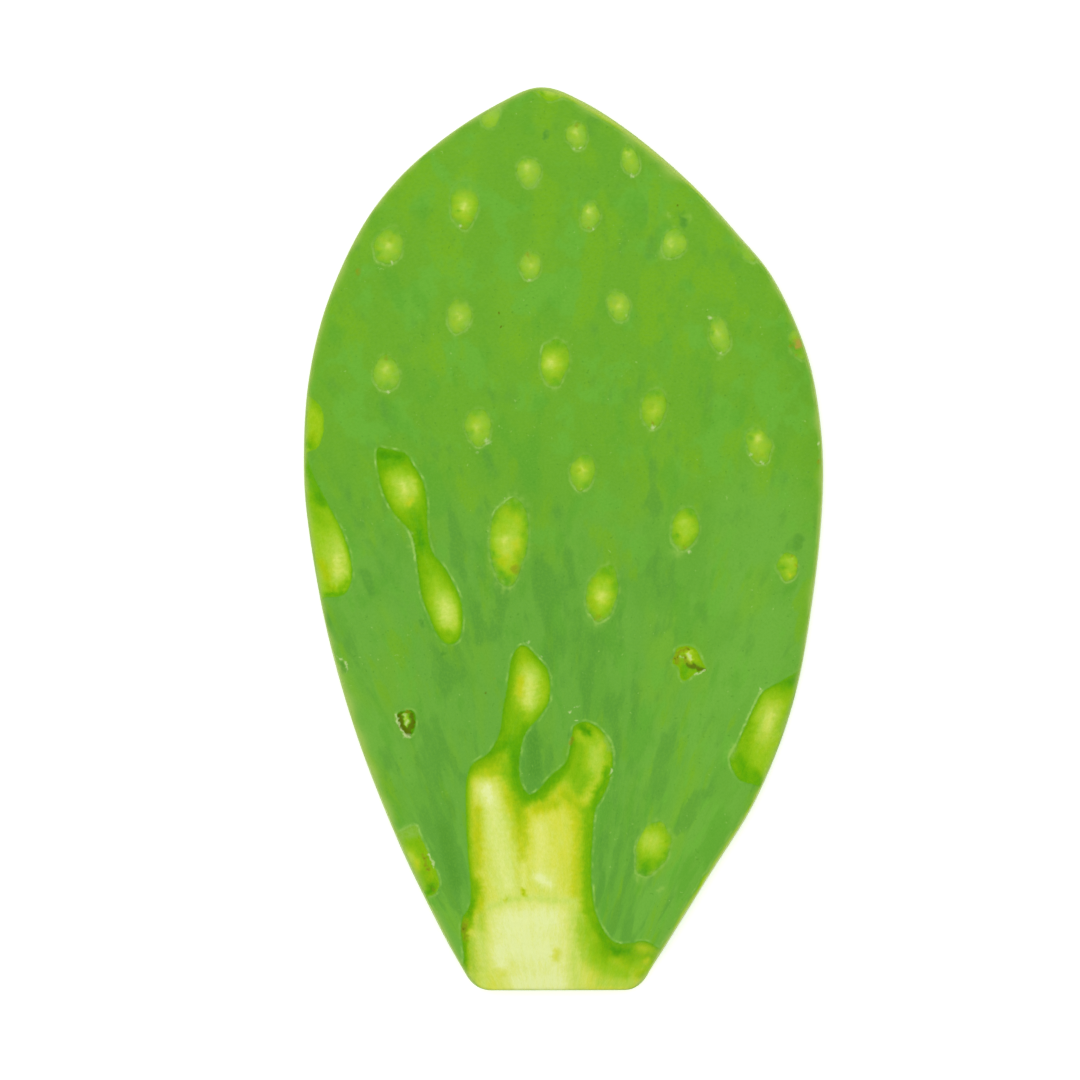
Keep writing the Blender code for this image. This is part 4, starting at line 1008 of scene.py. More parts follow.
SKIN_MARKS = (
    ("speck", 25.3, 73.6, 25.3, 73.4, 0.3), ("brown", -45.4, 59.4, -45.2, 58.6, 0.7),
    ("dark", -3.8, 89.8, -4.0, 88.5, 0.6), ("speck", -14.2, 49.8, -14.2, 49.7, 0.3),
    ("speck", -13.6, 46.8, -13.6, 46.7, 0.3), ("speck", -17.2, -34.0, -17.2, -34.1, 0.32),
    ("dark", -26.5, -25.4, -26.4, -25.4, 0.5), ("dark", -31.4, -18.4, -31.2, -19.2, 0.5),
    ("brown", -15.3, -30.8, -15.2, -30.8, 0.35),
    ("bruise", 56.7, 17.4, 56.6, 16.8, 0.5),
    ("rind", 23.3, 72.0, 23.4, 71.0, 0.4), ("rind", 27.9, 71.4, 28.2, 71.0, 0.35),
    ("cream", 56.6, 21.4, 56.5, 21.0, 0.4), ("cream", -45.2, 57.6, -45.3, 57.5, 0.35),
    ("cream", -44.2, 59.4, -44.2, 59.3, 0.3), ("cream", 3.4, -37.2, 2.6, -37.1, 0.3),
    ("cream", 0.4, -36.6, 0.1, -36.6, 0.25), ("cream", 1.6, -38.6, 1.5, -38.6, 0.22),
    ("cream", 10.6, -51.0, 10.4, -52.6, 0.4), ("cream", 3.0, -39.9, 2.8, -40.0, 0.35),
    ("cream", -8.6, -23.0, -7.6, -22.8, 0.3), ("cream", -4.9, -25.8, -4.6, -26.2, 0.25),
    ("cream", 43.6, -33.2, 43.2, -34.0, 0.3), ("rind", 37.6, -46.0, 37.0, -47.6, 0.8),
    ("cream", 43.9, -56.7, 43.4, -56.5, 0.35), ("dark", -48.8, -27.9, -48.9, -29.2, 0.8),
    ("cream", -50.2, -26.0, -48.0, -27.2, 0.28), ("cream", -47.9, -27.2, -47.7, -29.4, 0.28),
    ("rind", 22.0, -77.0, 21.0, -77.6, 0.4),
    ("rind", 16.6, -74.0, 16.4, -75.4, 0.4),
)


def skin_strokes():
    streaks = [(tone, *where) for tone, places in SKIN_STREAKS.items() for where in places]
    return streaks + list(SKIN_MARKS)


# %% Paint one face
USUAL_WARMTH = 0.15
USUAL_CRUST = 0.34
CRUST_SWING = 0.42
CRUST_SIZE = 3.4
CRUST_SEED = 21


def surface_numbers(points, areoles, cuts, skin_strokes):
    values = {name: np.zeros(len(points)) for name in SURFACE_NUMBERS}
    values["warm"] += USUAL_WARMTH
    swing = CRUST_SWING * unevenness(points, CRUST_SIZE, CRUST_SEED)
    values["crust"] += np.clip(USUAL_CRUST + swing, 0, 1)
    for areole in areoles:
        paint_areole(values, points, areole)
    for cut_line in cuts:
        paint_cut(values, points, cut_line)
    for stroke in skin_strokes:
        paint(values, points, stroke)
    return values


# From the middle of an oval outwards the flesh greens, then the torn rind pales it again.
# A milky haze of dried sap lies on the ovals high up the pad.
PAINTED_TO = 1.6             # how far out an oval is painted, in half lengths
AREOLE_PALE = 0.56
AREOLE_EDGE = 0.22
PALE_CORE = 1.3
AREOLE_WARMTH = 0.3
WARM_PATCHES = (2.4, 23)     # size in mm, then seed
USUAL_LENGTH = 8.0
PALER_WITH_LENGTH = 0.008
FULLER_WITH_LENGTH = 0.1
CAP_AT = 0.9
CAP_REACH = 0.3
MILKY = 0.5
MILKY_FADES = (-30.0, 45.0)
RIND_RING = 0.30
RIND_RING_RADIUS = 1.03
RIND_RING_WIDTH = 0.16
RING_PATCHES = (2.1, 25)
PATCHINESS = 0.8
MORE_BELOW = 0.5
LESS_ABOVE = -0.3
CRUST_LEAST = 0.2
CRUST_BELOW = 0.7
LIGHT_SPOTS = (              # tone, from, to, reach as a share of the half width
    ("leaf", 0.0, 0.0, 0.60), ("light", -0.2, 0.3, 0.30), ("pale", 0.0, 0.2, 0.20),
)


def paint_areole(values, points, areole):
    near = near_rows(points, areole, PAINTED_TO)
    radius = areole.radius(points[near])
    extra_length = max(2 * areole.half[0] - USUAL_LENGTH, 0)
    share = np.clip(radius, 0, 1) ** (PALE_CORE + FULLER_WITH_LENGTH * extra_length)
    contrast = PALER_WITH_LENGTH * extra_length
    middle, edge = AREOLE_PALE + contrast, AREOLE_EDGE - contrast
    values["pale"][near] = middle + (edge - middle) * share
    warm_swing = AREOLE_WARMTH * unevenness(points[near], *WARM_PATCHES)
    values["warm"][near] = AREOLE_WARMTH + warm_swing
    along = areole.local(points[near])[:, 0]
    low_side = np.clip(-along, LESS_ABOVE, 1)
    ring = np.exp(-(((radius - RIND_RING_RADIUS) / RIND_RING_WIDTH) ** 2))
    patches = 1 + PATCHINESS * unevenness(points[near], *RING_PATCHES) + MORE_BELOW * low_side
    low, high = MILKY_FADES
    milky = MILKY * np.clip((areole.centre[1] - low) / (high - low), 0, 1) * (radius < 1)
    rind = np.maximum(milky / (1 + extra_length), RIND_RING * ring * patches)
    values["rind"][near] = np.maximum(values["rind"][near], rind)
    values["crust"][near] = np.clip(CRUST_LEAST + CRUST_BELOW * areole.crust * low_side, 0, 1)
    x, y = areole.spot
    size = areole.half[1]
    for tone, start, end, part in LIGHT_SPOTS:
        paint(values, points, (tone, x, y + start, x, y + end, part * size))
    cap_x, cap_y = areole.centre + CAP_AT * areole.half[0] * areole.axis
    paint(values, points, ("green", cap_x, cap_y, cap_x, cap_y, CAP_REACH * size))
    for tone, x, y, reach in areole.marks:
        paint(values, points, (tone, x, y, x, y, reach))


# These marks keep their full strength right up to the edge of a cut.
SURE_MARKS = ("cream", "rind", "bruise", "clean", "dry", "core")
PAINTED_OUTSIDE = 0.8


def paint_cut(values, points, cut):
    inward = signed_distance(points, cut.loop)
    rows = np.flatnonzero(inward > -PAINTED_OUTSIDE)
    into = np.clip(inward[rows] / cut.fade, 0, 1)
    share = into * (2 - into)
    layers = {name: values[name].copy() for name in SURFACE_NUMBERS}
    for name, target in PALETTE[cut.tone].items():
        layers[name][rows] = target
    for stroke in cut.strokes:
        paint(layers, points, stroke)
    edge = PALETTE[cut.edge]
    for name in SURFACE_NUMBERS:
        start = edge.get(name, layers[name][rows])
        values[name][rows] = start + share * (layers[name][rows] - start)
    marks = [s for s in cut.strokes if s[0] in SURE_MARKS]
    for stroke in marks:
        paint(values, points, stroke)


# %% [markdown]
# ## From points to a mesh
#
# A plain grid would need millions of faces to follow the cuts. We place points
# where the form needs them instead: along every cut line, in rings beside it,
# closely inside the cuts and under small marks, and widely on the calm skin. Then
# a constrained triangulation joins them and keeps the cut lines as edges.


# %% A sheet of points
def hex_lattice(loop, step):
    low, high = loop.min(0), loop.max(0)
    points = []
    for number, y in enumerate(np.arange(low[1], high[1], step * math.sqrt(3) / 2)):
        xs = np.arange(low[0] + (number % 2) * step / 2, high[0], step)
        points.append(np.column_stack((xs, np.full(len(xs), y))))
    return np.vstack(points)


SAME_PLACE = 1e-6


class Sheet:
    """One face of the pad: points in the plane, and the lines the mesh must keep."""

    def __init__(self, rim, room_to_rim):
        self.rim = rim
        self.room_to_rim = room_to_rim
        self.points = rim.tolist()
        self.lines = [(i, (i + 1) % len(rim)) for i in range(len(rim))]

    def within(self, points):
        return signed_distance(points, self.rim) > self.room_to_rim

    def add_loop(self, loop):
        """A closed line the mesh keeps, broken where it comes near the rim."""
        usable = self.within(loop)
        index = np.cumsum(usable) - 1 + len(self.points)
        self.points.extend(loop[usable].tolist())
        for i in range(len(loop)):
            j = (i + 1) % len(loop)
            if usable[i] and usable[j]:
                self.lines.append((int(index[i]), int(index[j])))

    def add_points(self, points, room):
        """Points with at least `room` to every point placed before."""
        points = points[self.within(points)]
        tree = KDTree(len(self.points))
        for index, (x, y) in enumerate(self.points):
            tree.insert((x, y, 0.0), index)
        tree.balance()
        free = [p for p in points.tolist() if tree.find((p[0], p[1], 0.0))[2] > room]
        self.points.extend(free)

    def triangles(self):
        corners = [Vector(p) for p in self.points]
        verts, _, faces, _, _, _ = delaunay_2d_cdt(corners, self.lines, [], 0, SAME_PLACE, True)
        if len(verts) != len(corners):
            raise ValueError("two of the sheet's lines cross")
        faces = np.array(faces)
        middles = np.array(self.points)[faces].mean(axis=1)
        return faces[is_inside(middles, self.rim)]


# %% Filling a sheet
RIM_RINGS = (0.3, 0.6, 0.95, 1.4, 2.0, 2.8, 3.7, 4.7)
LIP_RINGS = (-0.75, -0.5, -0.25, 0.3, 0.7)
OVAL_STEP = 0.4
OVAL_LATTICE = 0.42
MARK_LATTICE = 0.35
RIM_ROOM = 0.25
LIP_ROOM = 0.2
LATTICE_ROOM = 0.7           # a share of the lattice's own step
SKIN_ROOM = 0.62
FEWEST_SIDES = 16
ROUGH_SIDES = 24
OVAL_INSIDE = (1.15, 1.3)    # kept within this radius of an oval, laid out over this one
OVAL_AROUND = (1.9, 2.0)


def oval_sides(areole):
    return max(int(round(math.pi * areole.half.sum() / OVAL_STEP)), FEWEST_SIDES)


def fill_ovals(sheet, areoles, radii, step):
    """A lattice laid out a little too wide, of which the points close enough are kept."""
    reach, laid_out = radii
    for areole in areoles:
        lattice = hex_lattice(areole.ring(laid_out, ROUGH_SIDES), step)
        sheet.add_points(lattice[areole.radius(lattice) < reach], LATTICE_ROOM * step)


def fill_sheet(sheet, areoles, cuts, marks, cut_lattice, skin_lattice):
    for cut in cuts:
        sheet.add_loop(cut.loop)
    for areole in areoles:
        sheet.add_loop(areole.ring(1.0, oval_sides(areole)))
    normals = inward_normals(sheet.rim)
    for inset in RIM_RINGS:
        sheet.add_points(sheet.rim + inset * normals, RIM_ROOM)
    for lip in LIP_RINGS:
        rings = [cut.loop + lip * inward_normals(cut.loop) for cut in cuts]
        rings += [a.ring(1 - lip / a.half[1], oval_sides(a)) for a in areoles]
        sheet.add_points(np.vstack(rings), LIP_ROOM)
    fill_ovals(sheet, areoles, OVAL_INSIDE, OVAL_LATTICE)
    for cut in cuts:
        inner = hex_lattice(cut.loop, cut_lattice)
        sheet.add_points(inner[is_inside(inner, cut.loop)], LATTICE_ROOM * cut_lattice)
    fill_ovals(sheet, areoles, OVAL_AROUND, 2 * OVAL_LATTICE)
    for _, x0, y0, x1, y1, reach in marks:
        line = np.array(((x0, y0), (x1, y1)))
        around = hex_lattice(np.vstack((line - 2 * reach, line + 2 * reach)), MARK_LATTICE)
        around = around[distance_to_line(around, line, False) < 2 * reach]
        sheet.add_points(around, LATTICE_ROOM * MARK_LATTICE)
    sheet.add_points(hex_lattice(sheet.rim, skin_lattice), SKIN_ROOM * skin_lattice)


# %% [markdown]
# ## The trimmed rim
#
# The knife also ran once round the rim and took the thin edge off. Seen from above
# that is a narrow pale strip, widest at the upper right. Seen from the side it is a
# band of pale cut flesh, and on the left the skin turns over its edges. The two
# faces share this band, so the pad is one closed surface.

# %% Width of the trimmed strip
TRIM_WIDTH = 0.5
WIDE_TRIM_WIDTH = 1.3
WIDE_TRIM_CENTRE = (14.0, 92.0)
WIDE_TRIM_REACH = 22.0
TRIM_SWING = 0.08
TRIM_WAVES = (16.0, 31)      # size in mm, then seed, as in the other waves below
BASE_TRIM_WIDTH = 0.35
BASE_ZONE = 1.0


def trim_width(rim_line):
    reach = np.linalg.norm(rim_line - np.array(WIDE_TRIM_CENTRE), axis=1) / WIDE_TRIM_REACH
    width = TRIM_WIDTH + (WIDE_TRIM_WIDTH - TRIM_WIDTH) * np.exp(-(reach**2))
    width = width * (1 + TRIM_SWING * unevenness(rim_line, *TRIM_WAVES))
    at_base = rim_line[:, 1] < -HALF_LENGTH + BASE_ZONE
    return np.where(at_base, BASE_TRIM_WIDTH, width)


crease = outline + trim_width(outline)[:, None] * inward_normals(outline)
print("trimmed strip, mm:", np.round(np.percentile(trim_width(outline), (5, 95)), 2))

# %% Both faces
CUT_LATTICE = 0.5
SKIN_LATTICE = 1.15
UNDER_CUT_LATTICE = 0.8
UNDER_LATTICE = 1.6
ROOM_TO_RIM = 0.3

top = Sheet(crease, ROOM_TO_RIM)
fill_sheet(top, top_areoles, top_cuts, SKIN_MARKS, CUT_LATTICE, SKIN_LATTICE)
under = Sheet(crease, ROOM_TO_RIM)
fill_sheet(under, under_areoles, under_cuts, (), UNDER_CUT_LATTICE, UNDER_LATTICE)
top_points = np.array(top.points)
under_points = np.array(under.points)
print("points on the faces:", len(top_points), len(under_points))

# %% Heights of both faces
LIP_HEIGHT = 0.16
LIP_REACH = 0.3
LIP_ENDS = 0.05
KNIFE_RELIEF = 0.05
KNIFE_WAVES = (1.8, 33)
KNIFE_FADE = 0.6
visible_areoles = top_areoles + rim_areoles
top_cut = cut_distance(top_points, visible_areoles, top_cuts)
under_cut = cut_distance(under_points, under_areoles, under_cuts)

# The brush reads `wander`, so it is worked out anew for each face.
wander = wandering(top_points)
top_values = surface_numbers(top_points, visible_areoles, top_cuts, skin_strokes())
wander = wandering(under_points)
under_values = surface_numbers(under_points, under_areoles, under_cuts, ())


def fine_relief(points, cut, crust):
    """The curled skin edge just outside a cut, and the knife's traces inside it."""
    outside = np.clip(-cut, 0, None)
    curl = LIP_HEIGHT * crust * np.exp(-((outside / LIP_REACH) ** 2)) * (cut < LIP_ENDS)
    inside = np.clip(cut / KNIFE_FADE, 0, 1)
    traces = KNIFE_RELIEF * unevenness(points, *KNIFE_WAVES) * inside
    return curl + traces


top_skin = middle_height(top_points) + half_thickness(top_points) + undulation(top_points)
top_z = top_skin + shaved_mounds(top_points, mounds) - cut_depth(top_points, top_cuts)
top_z = top_z + fine_relief(top_points, top_cut, top_values["crust"])

under_skin = middle_height(under_points) - half_thickness(under_points)
under_skin = under_skin - UNDER_CALM * undulation(under_points)
under_z = np.maximum(under_skin - shaved_mounds(under_points, under_areoles), 0.0)
under_z = under_z + pressed_dents(under_points, under_areoles) + cut_depth(under_points, under_cuts)
print("highest and lowest, mm:", round(top_z.max(), 2), round(under_z.min(), 2))

# %% The band of the rim
BAND_STEPS = (0.12, 0.3, 0.5, 0.68, 0.84, 0.94)
BAND_ROUNDING = 0.7
count = len(outline)
waist_z = (top_z[:count] + under_z[:count]) / 2


def band_rings(edge_z):
    """Rings from the waist towards one face's crease, with each point's depth below the skin."""
    rings = []
    for share in BAND_STEPS:
        place = outline + share * (crease - outline)
        height = waist_z + (edge_z - waist_z) * share**BAND_ROUNDING
        below = np.abs(edge_z - height)
        rings.append((place, height, below))
    return rings


upper_band = band_rings(top_z[:count])
lower_band = band_rings(under_z[:count])
print("rim band height, mm:", round(float(np.median(top_z[:count] - under_z[:count])), 2))

# %% [markdown]
# ## One closed mesh
#
# The rings and the two faces are stacked into one list of points. The band's
# quads run from the waist up to the top crease and down to the lower one.

# %% Stack the points
rings = [(outline, waist_z, np.abs(top_z[:count] - waist_z))] + upper_band + lower_band
ring_flat = np.vstack([r[0] for r in rings])
ring_z = np.concatenate([r[1] for r in rings])
ring_below = np.concatenate([r[2] for r in rings])
flat = np.vstack((ring_flat, top_points, under_points))
heights = np.concatenate((ring_z, top_z, under_z))
first_top = len(ring_flat)
first_under = first_top + len(top_points)


def band_faces(starts, upward):
    """Quads between rings given by their first index, outermost first."""
    quads = []
    for a, b in zip(starts, starts[1:]):
        for i in range(count):
            j = (i + 1) % count
            quad = (a + i, a + j, b + j, b + i)
            quads.append(quad if upward else quad[::-1])
    return quads


steps = len(BAND_STEPS)
upper_starts = [0] + [count * (1 + k) for k in range(steps)] + [first_top]
lower_starts = [0] + [count * (1 + steps + k) for k in range(steps)] + [first_under]
faces = band_faces(upper_starts, True) + band_faces(lower_starts, False)
faces += [tuple(f) for f in (top.triangles() + first_top).tolist()]
faces += [tuple(f[::-1]) for f in (under.triangles() + first_under).tolist()]
print("faces:", len(faces))

# %% Where the trimmed edge shows
# The knife took a strip off the edge. At the right it shows from above; at the left
# the skin turns over the edge first. Each row: x, y, reach, strip on the face, dryness.
TRIMS = (
    (3.0, 98.0, 5.0, 0.15, 0.8), (9.0, 94.5, 8.0, 0.1, 1.0), (17.0, 88.5, 10.0, 0.0, 1.0),
    (28.0, 79.0, 11.0, 0.0, 0.9), (38.0, 68.0, 11.0, 0.0, 0.7), (47.0, 56.0, 12.0, 0.0, 0.5),
    (56.0, 30.0, 20.0, 0.0, 0.4), (57.0, 0.0, 22.0, 0.0, 0.4), (42.0, -59.0, 6.0, 0.35, 0.0),
    (36.0, -68.0, 9.0, 0.45, 0.0), (28.0, -80.0, 10.0, 0.6, 0.0), (20.0, -93.0, 8.0, 0.2, 0.0),
    (-36.0, -66.0, 9.0, 0.0, 0.0), (-28.0, -84.0, 9.0, 0.0, 0.0), (-50.0, -28.0, 3.0, 0.0, 0.0),
)
SHOWN_GAIN = 1.5
STRIP_GAIN = 1.3
STRIP_SWING = 0.15
STRIP_WAVES = (4.0, 35)
LEAST_STRIP = 0.3
SKIN_WRAP = 1.3
WRAP_SWING = 0.3
WRAP_WAVES = (9.0, 36)
# Paleness across the strip, from its outer edge at 0 to its inner line at 1.
DRIED_STRIP = ((0.0, 0.45, 0.75, 1.0), (0.84, 0.72, 0.46, 0.34))
MOIST_STRIP = ((0.0, 0.4, 1.0), (0.80, 0.62, 0.26))


def trimmed(points):
    """How much the trim shows, how far it runs onto the face in mm, and how dry it is."""
    shown, onto, dry = np.zeros((3, len(points)))
    for x, y, reach, strip, dryness in TRIMS:
        share = np.exp(-((np.hypot(points[:, 0] - x, points[:, 1] - y) / reach) ** 2))
        shown = np.maximum(shown, np.minimum(SHOWN_GAIN * share, 1))
        onto = np.maximum(onto, strip * np.minimum(STRIP_GAIN * share, 1))
        dry = np.maximum(dry, dryness * share)
    onto = onto * (1 + STRIP_SWING * unevenness(points, *STRIP_WAVES))
    return shown, onto, dry


shown, onto, dry = trimmed(outline)
wrap_swing = 1 + WRAP_SWING * unevenness(outline, *WRAP_WAVES)
skin_over_edge = SKIN_WRAP * (1 - shown) * wrap_swing - onto
edge_strip = trim_width(outline)
strip_width = np.maximum(edge_strip + onto, LEAST_STRIP)


def strip_tone(across, dryness):
    dried = np.interp(across, *DRIED_STRIP)
    return dryness * dried + (1 - dryness) * np.interp(across, *MOIST_STRIP)


# %% The pale fringe
# All round the rim the skin was shaved thin, and light comes through it.
FRINGE_WIDTH = 0.66
FRINGE_WIDER = ((14.0, 92.0, 22.0, 0.65), (-46.0, -44.0, 22.0, 0.4))      # x, y, reach, more
FRINGE_FALL = 1.65
FRINGE_SWING = 0.35
FRINGE_WAVES = (8.0, 37)
FRINGE_AT_BASE = 0.05


def fringe_width(points):
    width = np.full(len(points), FRINGE_WIDTH)
    for x, y, reach, more in FRINGE_WIDER:
        width += more * np.exp(-((np.hypot(points[:, 0] - x, points[:, 1] - y) / reach) ** 2))
    width = width * (1 + FRINGE_SWING * unevenness(points, *FRINGE_WAVES))
    return np.where(points[:, 1] < -HALF_LENGTH + BASE_ZONE, FRINGE_AT_BASE, width)


width_of_fringe = fringe_width(outline)


# %% Numbers on the band
BAND_WARMTH = 0.25
BAND_CRUST = 0.2
BAND_PALE = 0.70
BAND_PALE_GAIN = 0.15
BAND_PALE_DEPTH = 2.4
BAND_STAIN = 0.3
rings_on_band = 1 + 2 * len(BAND_STEPS)
ring_cut = ring_below - np.tile(skin_over_edge, rings_on_band)
band_values = {name: np.zeros(len(ring_flat)) for name in SURFACE_NUMBERS}
band_values["warm"] += BAND_WARMTH
band_values["crust"] += BAND_CRUST
outer_tone = BAND_PALE + BAND_PALE_GAIN * np.clip(ring_cut / BAND_PALE_DEPTH, 0, 1)
across = np.zeros((rings_on_band, count))
across[1:1 + len(BAND_STEPS)] = np.outer(BAND_STEPS, edge_strip / strip_width)
facing_up = np.ones(rings_on_band, bool)
facing_up[1 + len(BAND_STEPS):] = False
band_tone = outer_tone.reshape(rings_on_band, count)
band_tone[facing_up] = strip_tone(across[facing_up], np.tile(dry, (facing_up.sum(), 1)))
band_values["pale"] = band_tone.ravel()
band_values["brown"] += BAND_STAIN * np.tile(1 - shown, rings_on_band)
band_values["tint"] += np.tile(1 - shown, rings_on_band)
reach_in = np.outer((0.0, *BAND_STEPS, *BAND_STEPS), edge_strip / width_of_fringe)
band_values["fringe"] = np.exp(-(reach_in**FRINGE_FALL)).ravel()


# %% Join the rim's cut line to the faces
nearest_rim = KDTree(count)
for index, (x, y) in enumerate(crease.tolist()):
    nearest_rim.insert((x, y, 0.0), index)
nearest_rim.balance()
RIM_ZONE = 3.0
STRIP_OVERLAP = 0.3
STRIP_WARMTH = 0.2
DRY_WARMTH = 0.5
DRY_CRUST = 0.3
INNER_LINE_STAIN = 0.2
INNER_LINE_WIDTH = 0.15


def add_rim(points, cut, values):
    """The rim's cut line joins in, and the strip of trimmed flesh on the face is painted."""
    away = distance_to_line(points, crease, True)
    result = cut.copy()
    for row in np.flatnonzero(away < RIM_ZONE).tolist():
        index = nearest_rim.find((points[row, 0], points[row, 1], 0.0))[1]
        reach_in = (away[row] + edge_strip[index]) / width_of_fringe[index]
        values["fringe"][row] = math.exp(-(reach_in**FRINGE_FALL))
        from_rim = -away[row] - skin_over_edge[index]
        if from_rim > cut[row]:
            result[row] = from_rim
        if from_rim > -STRIP_OVERLAP and cut[row] < 0:
            across = 1 - from_rim / strip_width[index]
            values["pale"][row] = strip_tone(across, dry[index])
            values["warm"][row] = STRIP_WARMTH + DRY_WARMTH * dry[index]
            inner_line = math.exp(-((across - 1) / INNER_LINE_WIDTH) ** 2)
            stain = INNER_LINE_STAIN * dry[index] * inner_line
            values["brown"][row] = max(values["brown"][row], stain)
            values["crust"][row] = DRY_CRUST * dry[index]
    return result


top_cut = add_rim(top_points, top_cut, top_values)
under_cut = add_rim(under_points, under_cut, under_values)
all_numbers = {"cut": np.concatenate((ring_cut, top_cut, under_cut))}
for name in SURFACE_NUMBERS:
    all_numbers[name] = np.concatenate((band_values[name], top_values[name], under_values[name]))

# %% Make the object
# The fine outline bulges a hair past the solid's straight sides, so it is drawn in.
FIT = 0.9998
HEADROOM = 0.01
heights = np.minimum(heights, cad_high[2] / MM - HEADROOM)
points = np.column_stack((FIT * (flat - outline_middle), heights)) * MM
pad_mesh = bpy.data.meshes.new("cactus_pad")
pad_mesh.from_pydata(points.tolist(), [], faces)
pad_mesh.validate()
pad_mesh.shade_smooth()
pad = bpy.data.objects.new("cactus_pad", pad_mesh)
bpy.context.scene.collection.objects.link(pad)
for name, values in all_numbers.items():
    layer = pad_mesh.attributes.new(name, "FLOAT", "POINT")
    layer.data.foreach_set("value", values.astype(np.float32))
print("triangles:", sum(len(p.vertices) - 2 for p in pad_mesh.polygons))

# %% [markdown]
# ## The material
#
# One material covers the pad, because skin and flesh are one body. It reads the
# numbers on the surface. Skin is one green that shifts a little with height, under
# painted and seeded clouds, flecks, pores and grain. Flesh runs through a cool or a
# warm ramp from strong green to cream. A thin dried line follows every cut edge.


# %% Colour helper
SHEEN = 0.0045
LIGHT = 1.03
DARKEST = 0.002


def seen_colour(red, green, blue):
    """Turn a colour as it should be seen, 0 to 255, into the linear one a shader needs.
    The room's white sheen adds a little to every colour, so it is taken off here."""
    values = []
    for channel in (red, green, blue):
        c = channel / 255
        linear = c / 12.92 if c <= 0.04045 else ((c + 0.055) / 1.055) ** 2.4
        values.append(max((linear - SHEEN) / LIGHT, DARKEST))
    return (*values, 1.0)


# %% Node helpers
material = bpy.data.materials.new("pad_skin_and_flesh")
material.use_nodes = True
nodes = material.node_tree.nodes
links = material.node_tree.links
shader = nodes["Principled BSDF"]


def number(name):
    """A number stored on the surface."""
    node = nodes.new("ShaderNodeAttribute")
    node.attribute_name = name
    return node.outputs["Fac"]


def maths(operation, a, b=0.0, clamp=False):
    node = nodes.new("ShaderNodeMath")
    node.operation = operation
    node.use_clamp = clamp
    for socket, value in zip(node.inputs, (a, b)):
        if isinstance(value, (int, float)):
            socket.default_value = value
        else:
            links.new(value, socket)
    return node.outputs[0]


def span(value, low, high, to_low=0.0, to_high=1.0):
    node = nodes.new("ShaderNodeMapRange")
    node.interpolation_type = "SMOOTHSTEP"
    links.new(value, node.inputs["Value"])
    node.inputs["From Min"].default_value = low
    node.inputs["From Max"].default_value = high
    node.inputs["To Min"].default_value = to_low
    node.inputs["To Max"].default_value = to_high
    return node.outputs["Result"]


def blend(factor, first, second):
    node = nodes.new("ShaderNodeMix")
    node.data_type = "RGBA"
    colour_sockets = node.inputs[6:8]
    for socket, value in zip((node.inputs[0], *colour_sockets), (factor, first, second)):
        if isinstance(value, (int, float, tuple)):
            socket.default_value = value
        else:
            links.new(value, socket)
    return node.outputs[2]


# %% [markdown]
# ## Streaks that fan out from the base
#
# The strands inside a pad leave its base together and spread towards the edge, and
# the skin over them is faintly streaked the same way. So we measure noise in fan
# coordinates: the angle round a point below the base, and the distance from it.

# %% Fan coordinates and noise
FAN_BELOW_MIDDLE = 0.13
FAN_ARM = 0.11
place = nodes.new("ShaderNodeTexCoord").outputs["Object"]
position = nodes.new("ShaderNodeSeparateXYZ")
links.new(place, position.inputs[0])
up_from_fan = maths("ADD", position.outputs["Y"], FAN_BELOW_MIDDLE)
fan_angle = maths("ARCTAN2", position.outputs["X"], up_from_fan)
across_2 = maths("MULTIPLY", position.outputs["X"], position.outputs["X"])
up_2 = maths("MULTIPLY", up_from_fan, up_from_fan)
fan_place = nodes.new("ShaderNodeCombineXYZ")
links.new(maths("MULTIPLY", fan_angle, FAN_ARM), fan_place.inputs["X"])
links.new(maths("SQRT", maths("ADD", across_2, up_2)), fan_place.inputs["Y"])
links.new(position.outputs["Z"], fan_place.inputs["Z"])


def noise(size_mm, detail=2.0, stretch=1.0, roughness=0.5, offset=0.0, fan=True):
    """Soft noise `size_mm` across and `stretch` times longer along the strands."""
    mapping = nodes.new("ShaderNodeMapping")
    mapping.inputs["Location"].default_value = (offset, offset, offset)
    mapping.inputs["Scale"].default_value = (1.0, 1.0 / stretch, 1.0)
    links.new(fan_place.outputs[0] if fan else place, mapping.inputs["Vector"])
    node = nodes.new("ShaderNodeTexNoise")
    node.inputs["Scale"].default_value = 1.0 / (size_mm * MM)
    node.inputs["Detail"].default_value = detail
    node.inputs["Roughness"].default_value = roughness
    links.new(mapping.outputs["Vector"], node.inputs["Vector"])
    return node.outputs["Fac"]


def centred(value, amount):
    """Noise moved to run about zero, times an amount."""
    return maths("MULTIPLY", maths("SUBTRACT", value, 0.5), amount)


# %% Skin colour
# It is a little greyer low down, and the change between the two is blotchy.
SKIN_UPPER = seen_colour(109, 171, 44)
SKIN_LOWER = seen_colour(112, 175, 63)
CLIMB_FROM_TO = (-0.035, 0.045)      # metres along the pad
CLIMB_LIMITS = (0.25, 0.75)
height_along = position.outputs["Y"]
blotches = noise(13, detail=3.0, stretch=1.6, roughness=0.6, offset=2.0)
climb = maths("ADD", span(height_along, *CLIMB_FROM_TO), centred(blotches, 1.0))
skin = blend(span(climb, *CLIMB_LIMITS), SKIN_LOWER, SKIN_UPPER)

